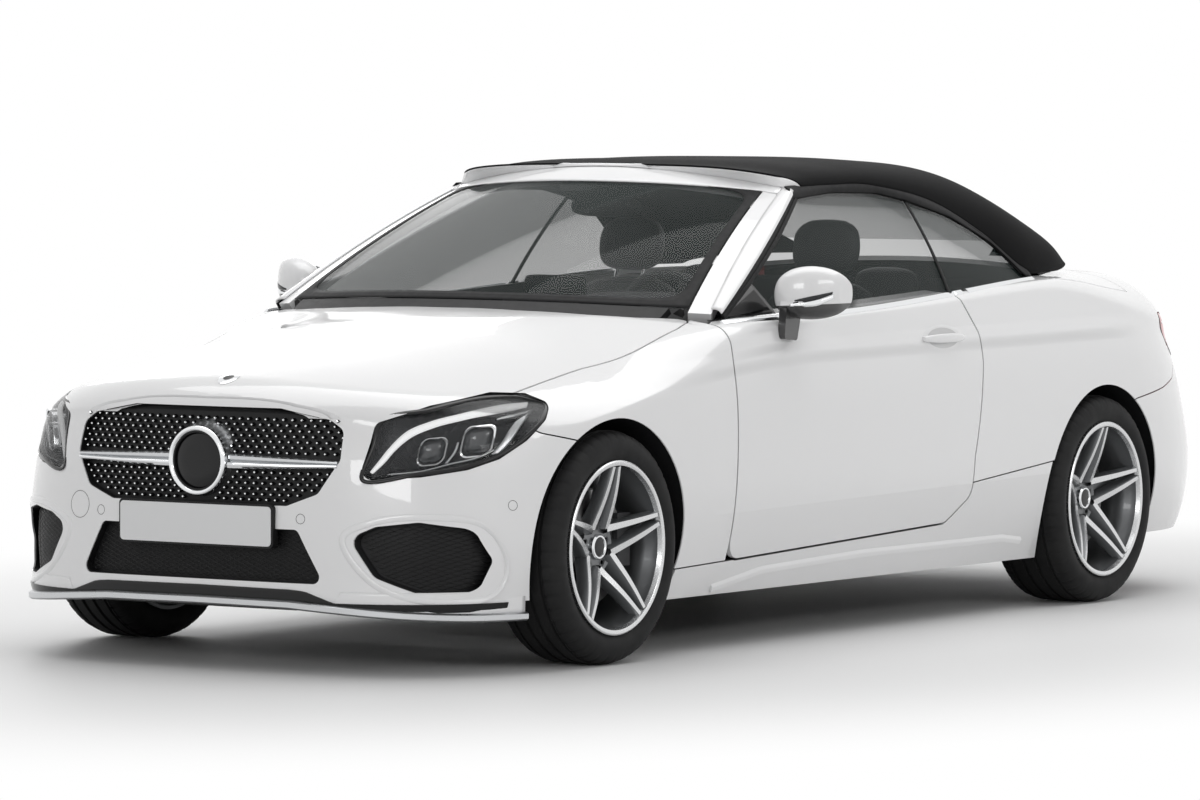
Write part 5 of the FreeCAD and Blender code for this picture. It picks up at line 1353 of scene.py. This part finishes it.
class CONVERTIBLE_OT_sides(bpy.types.Operator):
    """Makes the window frames, belt strips, mirrors, handles and seals"""
    bl_idname = "convertible.sides"
    bl_label = "Sides"

    def execute(self, context):
        corners = np.array([(-1.0, 0.0), (-1.0, 1.0), (1.0, 1.0), (1.0, 0.0), (-1.0, 0.0)])
        t = np.linspace(0, 1, 49)[:-1, None]
        edge = np.concatenate([a * (1 - t) + b * t for a, b in zip(corners, corners[1:])])
        power = 14
        inner = edge * [1, 2] - [0, 1]
        inner = inner / (np.sum(abs(inner) ** power, 1)[:, None]) ** (1 / power)
        inner = inner * [0.955, 0.905]
        inner = np.stack([inner[:, 0], (inner[:, 1] + 1.0) / 2], -1)
        ring = blended(edge, inner, 4)
        band = screen(ring[..., 0], ring[..., 1], 0.0006)
        piece("windscreen_band", surface(band, along=True), "seal", "body", "window_glass", thick=0.0009,
              fix=False)

        loop = np.array([(-0.16, 0.985), (-0.13, 0.90), (-0.075, 0.845), (0.075, 0.845), (0.13, 0.90),
                         (0.16, 0.985)])
        grid = between(loop[:3], loop[:2:-1], 20, 14)
        pod = screen(grid[..., 0], grid[..., 1], -0.008)
        inward = np.array([0, 0.5, -0.86])
        bulge = np.sin(np.pi * np.linspace(0, 1, 20))[:, None] * np.sin(np.pi * np.linspace(0, 1, 14))[None]
        back = (pod + inward * 0.045 * bulge[..., None])[:, ::-1]
        piece("sensor_housing", surface(np.concatenate([pod, back], 1), around=True), "black_plastic", "body",
              "black_plastic")
        mirror = rounded_profile(0.25, 0.060, 3.0, 24)
        levels = ((0.94, 0.001), (1.0, 0.0), (1.0, -0.012), (0.86, -0.022), (0.4, -0.028))
        grid = stepped(mirror, 0, -0.262, 1.262, levels)
        form = surface(grid, around=True, ends=True)
        form += carry([[0, -0.285, 1.27], [0, -0.315, 1.30], [0, -0.335, 1.335]],
                      rounded_profile(0.022, 0.022, 2, 10), (1, 0, 0))
        piece("inside_mirror", form, "black_plastic", "body", "black_plastic")

        belt_y = np.linspace(-0.905, 0.975, 120)
        skin = target_of("door_left", "rear_quarters")
        belt_x = smooth_knots([(-0.928, 0.807), (-0.668, 0.826), (0.172, 0.826), (0.572, 0.812),
                               (0.972, 0.784)], belt_y, 1)
        path = laid(np.stack([belt_x + 0.0075, belt_y], -1), TOP_VIEW, skin)
        strip = rounded_profile(0.021, 0.007, 3.0, 16) + [0, 0.0015]
        front = belt_y < 0.484
        rear = belt_y > 0.497
        for side in ("left", "right"):
            for name, part, body in (("door_strip_", front, "door_" + side),
                                     ("quarter_strip_", rear, "body")):
                form = carry(path[part], strip, (0.85, 0, 1))
                piece(name + side, form.on(side), "chrome", body, "bright_trim", smooth=50)

        rubber = rounded_profile(0.016, 0.009, 3.0, 12)
        pillar = line_through([(-0.868, 0.956), (-0.55, 1.110), (-0.20, 1.281), (-0.165, 1.298)], 60)
        top = line_through([(-0.165, 1.298), (0.03, 1.314), (0.30, 1.311), (0.455, 1.288)], 50)
        seals = carry(side_window(pillar[:, 0], pillar[:, 1], 0.004), rubber, (1, 0, 0))
        seals += carry(side_window(top[:, 0], top[:, 1], 0.004), rubber, (1, 0, 0))
        rear_top = line_through([(0.470, 1.284), (0.672, 1.234), (0.847, 1.152), (0.965, 1.052)], 50)
        seals += carry(side_window(rear_top[:, 0], rear_top[:, 1], 0.004), rubber, (1, 0, 0))
        piece("window_seals", seals.both(), "seal", "body", "black_plastic")
        t = np.linspace(0, 1, 50)
        inner = screen(np.full(50, 1.085), 1.045 * t, 0.001)
        edge = side_window(-0.872 + 0.704 * t, 0.957 + 0.346 * t, 0.003)
        cover = blended(inner, edge, 9) + np.array([0.012, -0.006, 0.006]) * arch(9)
        tint = np.tile([0, 0, 0, 0, 0, 0, 1, 1], 49).tolist()
        piece("pillar_covers", surface(cover, finish=tint).both(), ["paint_plain", "seal"], "body", "paint",
              thick=0.004, fix=False, smooth=60)
        sail = between([(-0.866, 0.958), (-0.80, 0.956), (-0.60, 0.962)],
                       [(-0.866, 0.960), (-0.78, 1.000), (-0.665, 1.056)], 16, 5)
        sail = side_window(sail[..., 0], sail[..., 1], 0.0035)
        ledge_y = np.linspace(-0.985, 0.80, 90)
        ledge = laid(np.stack([ledge_y, np.interp(ledge_y, [-0.996, -0.732, -0.178, 0.673, 0.80],
                                                  [0.178, 0.219, 0.236, 0.236, 0.222])], -1), SIDE_VIEW,
                     target_of("side_skirts"))
        blade = np.array([[-0.016, 0.0005], [-0.002, 0.007], [0.003, 0.006], [0.014, 0.0015],
                          [0.014, -0.003], [-0.016, -0.003]])
        skirts = carry(ledge, blade, (1, 0, 0))
        piece("skirt_ledges", skirts.both(), "paint_plain", "body", "paint", smooth=60)
        for side in ("left", "right"):
            piece("mirror_sail_" + side, surface(sail).on(side), "gloss_black", "door_" + side,
                  "black_plastic", thick=0.002, fix=False)
        gap = line_through([(0.416, 0.99), (0.462, 1.286)], 20)
        bar = carry(side_window(gap[:, 0], gap[:, 1], 0.001), rounded_profile(0.016, 0.006, 3, 12), (1, 0, 0))
        piece("quarter_posts", bar.both(), "seal", "body", "black_plastic")

        for side in ("left", "right"):
            shell = target_of("mirror_left")
            low = [(0.905, 0.986), (0.940, 0.984), (0.975, 0.990), (1.000, 1.008)]
            high = [(0.905, 0.992), (0.940, 0.997), (0.975, 1.006), (1.001, 1.018)]
            flat = between(low, high, 30, 4)
            lamp = laid(flat, FRONT_VIEW, shell, 0.0012)
            form = surface(lamp, finish=0)
            low = [(0.915, 0.993), (0.945, 0.998), (0.975, 1.007), (0.998, 1.020)]
            high = [(0.915, 1.004), (0.945, 1.012), (0.975, 1.020), (0.999, 1.028)]
            form += surface(laid(between(low, high, 30, 4), FRONT_VIEW, shell, 0.0010), finish=1)
            piece("mirror_lamp_" + side, form.on(side), ["chrome", "lamp_bowl"], "door_" + side,
                  "bright_trim", thick=0.0012, fix=False)
            glass = rounded_profile(0.128, 0.098, 3.4, 28)
            levels = ((1.0, -0.002), (1.0, 0.0005), (0.97, 0.0018), (0.001, 0.0018))
            grid = stepped(glass, 0.938, -0.5075, 1.022, levels)
            form = surface(grid, around=True)
            piece("mirror_glass_" + side, form.on(side), "chrome", "door_" + side, "bright_trim", smooth=40)

            door = target_of("door_left")
            centre = (0.262, 0.868)
            turn = np.linspace(0, 2 * np.pi, 49)[:-1]
            radius = np.linspace(0, 1, 10)
            ring = np.stack([np.cos(turn)[:, None] * radius * 0.118, np.sin(turn)[:, None] * radius * 0.040],
                            -1) + centre
            cup = laid(ring, SIDE_VIEW, door)
            lip = np.interp(radius, [0, 0.75, 0.86, 0.94, 1.0], [0.0007, 0.0007, 0.0016, 0.0020, 0.0002])
            cup[..., 0] += lip
            # The inner part of the cup takes the darker paint: a painted shade in the handle recess.
            tint = np.tile(np.where(radius[1:] < 0.8, 1, 0), 48).tolist()
            form = surface(cup, along=True, finish=tint)
            piece("handle_cup_" + side, form.on(side), ["paint_plain", "cup_painted_shade"], "door_" + side, "paint",
                  fix=False, smooth=60)
            run = np.linspace(-1, 1, 41)
            base = laid(np.stack([centre[0] + run * 0.122, np.full(41, centre[1])], -1), SIDE_VIEW, door)
            base[:, 0] += 0.020 - 0.012 * run ** 4 - 0.004 * run ** 2
            tall = 0.028 * (1 - 0.50 * abs(run) ** 3)
            section = rounded_profile(1.0, 1.0, 2.6, 20)
            grid = np.stack([base[:, None, 0] + section[None, :, 0] * 0.013,
                             np.broadcast_to(base[:, None, 1], (41, 20)),
                             base[:, None, 2] + section[None, :, 1] * tall[:, None]], -1)
            form = surface(grid, around=True, ends=True)
            piece("door_handle_" + side, form.on(side), "paint_plain", "door_" + side, "paint", smooth=60)
        return {"FINISHED"}


# Cabin

def padded_piece(name, forms, cap, **settings):
    """A stuffed pad: closed forms merged by a voxel remesh, swollen by cloth under pressure with
    no point moving further than a cap, and then smoothed once."""
    pad = piece(name, forms, "seat_leather", "body", "seat_leather", smooth=180, fix=False, **settings)
    merge = pad.modifiers.new("merge", "REMESH")
    merge.mode = "VOXEL"
    merge.voxel_size = 0.0135
    apply_modifiers(pad)
    count = len(pad.data.vertices)
    start = np.zeros(count * 3, np.float32)
    pad.data.vertices.foreach_get("co", start)
    cloth = pad.modifiers.new("cloth", "CLOTH")
    cloth.settings.use_pressure = True
    cloth.settings.uniform_pressure_force = 4.0
    cloth.settings.quality = 4
    cloth.settings.effector_weights.gravity = 0.0
    for frame_number in range(1, 21):
        bpy.context.scene.frame_set(frame_number)
    found = pad.evaluated_get(bpy.context.evaluated_depsgraph_get()).data
    end = np.zeros(count * 3, np.float32)
    found.vertices.foreach_get("co", end)
    pad.modifiers.clear()
    bpy.context.scene.frame_set(1)
    move = (end - start).reshape(-1, 3)
    far = np.linalg.norm(move, axis=1)[:, None]
    swollen = start.reshape(-1, 3) + move * np.minimum(1, cap / (far + 1e-9))
    pad.data.vertices.foreach_set("co", swollen.ravel())
    pad.data.update()
    pad.data.shade_smooth()
    rounds = pad.modifiers.new("rounds", "SUBSURF")
    rounds.levels = rounds.render_levels = 1
    apply_modifiers(pad)
    pad.data.shade_smooth()
    return pad


def mirrored_pad(pad, name, **settings):
    """The same pad on the other side of the car."""
    points = np.zeros(len(pad.data.vertices) * 3, np.float32)
    pad.data.vertices.foreach_get("co", points)
    faces = [tuple(face.vertices)[::-1] for face in pad.data.polygons]
    other = piece(name, Form(points.reshape(-1, 3) * [-1, 1, 1], faces), "seat_leather", "body",
                  "seat_leather", smooth=180, fix=False, **settings)


def piping(path, pad):
    """A sewn cord along a path laid on a pad's nearest skin."""
    line = wrapped(line_through(path, 60), pad, None, 0.0008)
    return carry(line, rounded_profile(0.0045, 0.0045, 2, 8), (0.1, 0.3, 1))


class CONVERTIBLE_OT_cabin(bpy.types.Operator):
    """Stuffs the seats and adds the dashboard's hood, screen, vents and the console"""
    bl_idname = "convertible.cabin"
    bl_label = "Cabin"

    def execute(self, context):
        x = 0.360
        cushion = pad_form((x, 0.030, 0.405), (0.170, 0.250, 0.085), 0.5)
        cushion += pad_form((x - 0.196, 0.035, 0.415), (0.036, 0.235, 0.085), 0.5)
        cushion += pad_form((x + 0.196, 0.035, 0.415), (0.036, 0.235, 0.085), 0.5)
        cushion = padded_piece("seat_cushion_left", cushion, 0.010, replaces=["front_seats"])
        rest = pad_form((x, 0.356, 0.730), (0.165, 0.040, 0.310), 0.55, lean=0.215, taper=0.12)
        rest += pad_form((x - 0.185, 0.335, 0.700), (0.036, 0.048, 0.270), 0.55, lean=0.215, taper=-0.3)
        rest += pad_form((x + 0.185, 0.335, 0.700), (0.036, 0.048, 0.270), 0.55, lean=0.215, taper=-0.3)
        rest += pad_form((x, 0.405, 0.960), (0.195, 0.036, 0.080), 0.6, lean=0.2, taper=0.25)
        rest = padded_piece("seat_back_left", rest, 0.010)
        head = pad_form((x, 0.434, 1.136), (0.115, 0.044, 0.085), 0.62, lean=0.12, taper=0.12)
        head = padded_piece("head_restraint_left", head, 0.008)
        mirrored_pad(cushion, "seat_cushion_right")
        mirrored_pad(rest, "seat_back_right")
        mirrored_pad(head, "head_restraint_right")
        bench = pad_form((0.300, 0.700, 0.405), (0.262, 0.155, 0.085), 0.5)
        bench = padded_piece("rear_cushion_left", bench, 0.010, replaces=["rear_seats"])
        mirrored_pad(bench, "rear_cushion_right")
        back = pad_form((0.290, 0.818, 0.710), (0.255, 0.034, 0.215), 0.5, lean=0.10)
        back = padded_piece("rear_back_left", back, 0.008)
        mirrored_pad(back, "rear_back_right")
        rear_head = pad_form((0.330, 0.850, 0.995), (0.115, 0.032, 0.070), 0.6, lean=0.1)
        rear_head = padded_piece("rear_head_left", rear_head, 0.006)
        mirrored_pad(rear_head, "rear_head_right")

        cords = EMPTY
        for offset in (-0.158, 0.158):
            cords += piping([(x + offset, -0.21, 0.49), (x + offset, 0.0, 0.50), (x + offset, 0.24, 0.50)],
                            cushion)
            cords += piping([(x + offset, 0.24, 0.48), (x + offset, 0.31, 0.75),
                             (x + offset * 0.94, 0.37, 0.98)], rest)
        for height, deep in ((0.60, 0.28), (0.72, 0.30), (0.84, 0.33)):
            cords += piping([(x - 0.15, deep, height), (x, deep, height), (x + 0.15, deep, height)], rest)
        for y in (-0.10, 0.02, 0.14):
            cords += piping([(x - 0.15, y, 0.50), (x, y, 0.50), (x + 0.15, y, 0.50)], cushion)
        piece("seat_piping", cords.both(), "cabin_plastic", "body", "seat_leather", fix=False)

        posts = EMPTY
        for offset in (-0.05, 0.05):
            posts += carry([[x + offset, 0.412, 1.02], [x + offset, 0.425, 1.06], [x + offset, 0.432, 1.10]],
                           rounded_profile(0.011, 0.011, 2, 12), (1, 0, 0))
        base = pad_form((x, 0.030, 0.262), (0.185, 0.225, 0.055), 0.3)
        piece("head_posts", posts.both(), "chrome", "body", "bright_trim")
        piece("seat_bases", base.both(), "cabin_plastic", "body", "cabin_plastic")

        trim = pad_form((x, -0.640, 0.985), (0.185, 0.150, 0.032), 0.7)
        trim += pad_form((0.0, -0.575, 0.970), (0.160, 0.060, 0.028), 0.6)
        piece("instrument_hood", trim, "cabin_plastic", "body", "cabin_plastic", smooth=60)
        tablet = pad_form((0.0, -0.548, 1.005), (0.110, 0.006, 0.055), 0.25)
        piece("centre_screen", tablet, "gloss_black", "body", "cabin_plastic", smooth=60)
        vents = EMPTY
        for place in (-0.085, 0.0, 0.085, 0.640, -0.640):
            ring = round_about([(0.0, 0.031), (-0.010, 0.034), (-0.010, 0.041), (0.004, 0.041)],
                               (0, 0, 0), 36)
            ring = np.stack([ring[..., 2] + place, ring[..., 0] - 0.512, ring[..., 1] + 0.868], -1)
            vents += surface(ring, along=True)
        piece("vent_rings", vents, "satin_silver", "body", "bright_trim", fix=False)
        console = pad_form((0.0, -0.060, 0.405), (0.088, 0.420, 0.115), 0.28)
        console += pad_form((0.0, 0.170, 0.530), (0.080, 0.165, 0.040), 0.4)
        piece("console", console, "cabin_plastic", "body", "cabin_plastic", smooth=60)
        turn = Matrix.Rotation(math.radians(-65), 3, "X")
        boss = pad_form((0, 0, 0), (0.085, 0.070, 0.030), 0.6).moved(turn, (0.360, -0.418, 0.905))
        piece("steering_boss", boss, "cabin_plastic", "body", "cabin_plastic", smooth=60)

        for side in ("left", "right"):
            card = pad_form((0.728, -0.120, 0.845), (0.016, 0.470, 0.055), 0.4)
            card += pad_form((0.715, 0.000, 0.735), (0.034, 0.300, 0.028), 0.45)
            card += pad_form((0.732, -0.200, 0.640), (0.012, 0.480, 0.085), 0.35)
            piece("door_card_" + side, card.on(side), "cabin_plastic", "door_" + side, "cabin_plastic",
                  smooth=60)
            pull = carry([[0.704, -0.330, 0.850], [0.696, -0.300, 0.855], [0.696, -0.240, 0.855],
                          [0.704, -0.210, 0.850]], rounded_profile(0.010, 0.012, 2.5, 12), (0, 0, 1))
            piece("door_pull_" + side, pull.on(side), "satin_silver", "door_" + side, "bright_trim")
        return {"FINISHED"}


# Panel, registration and the run

OPERATORS = (CONVERTIBLE_OT_stage, CONVERTIBLE_OT_finishes, CONVERTIBLE_OT_wheels, CONVERTIBLE_OT_roof,
             CONVERTIBLE_OT_grille, CONVERTIBLE_OT_headlamps, CONVERTIBLE_OT_rear, CONVERTIBLE_OT_sides,
             CONVERTIBLE_OT_cabin)


class CONVERTIBLE_PT_panel(bpy.types.Panel):
    """Lists the steps that dress the car"""
    bl_label = "Convertible"
    bl_idname = "CONVERTIBLE_PT_panel"
    bl_space_type = "VIEW_3D"
    bl_region_type = "UI"
    bl_category = "Convertible"

    def draw(self, context):
        for group in (context.scene.convertible_colours, context.scene.convertible_wheels,
                      context.scene.convertible_camera):
            for name in group.bl_rna.properties.keys():
                if name not in ("rna_type", "name"):
                    self.layout.prop(group, name)
        for operator in OPERATORS:
            self.layout.operator(operator.bl_idname)


GROUPS = {"convertible_colours": FinishColours, "convertible_wheels": WheelSizes,
          "convertible_camera": CameraPlace}


def register():
    for item in (*GROUPS.values(), *OPERATORS, CONVERTIBLE_PT_panel):
        bpy.utils.register_class(item)
    for name, group in GROUPS.items():
        setattr(bpy.types.Scene, name, bpy.props.PointerProperty(type=group))


def unregister():
    for name in GROUPS:
        delattr(bpy.types.Scene, name)
    for item in reversed((*GROUPS.values(), *OPERATORS, CONVERTIBLE_PT_panel)):
        bpy.utils.unregister_class(item)


def main():
    register()
    for operator in OPERATORS:
        group, name = operator.bl_idname.split(".")
        getattr(getattr(bpy.ops, group), name)()
    for made in targets.values():
        bpy.data.objects.remove(made)


if __name__ == "__main__":
    main()
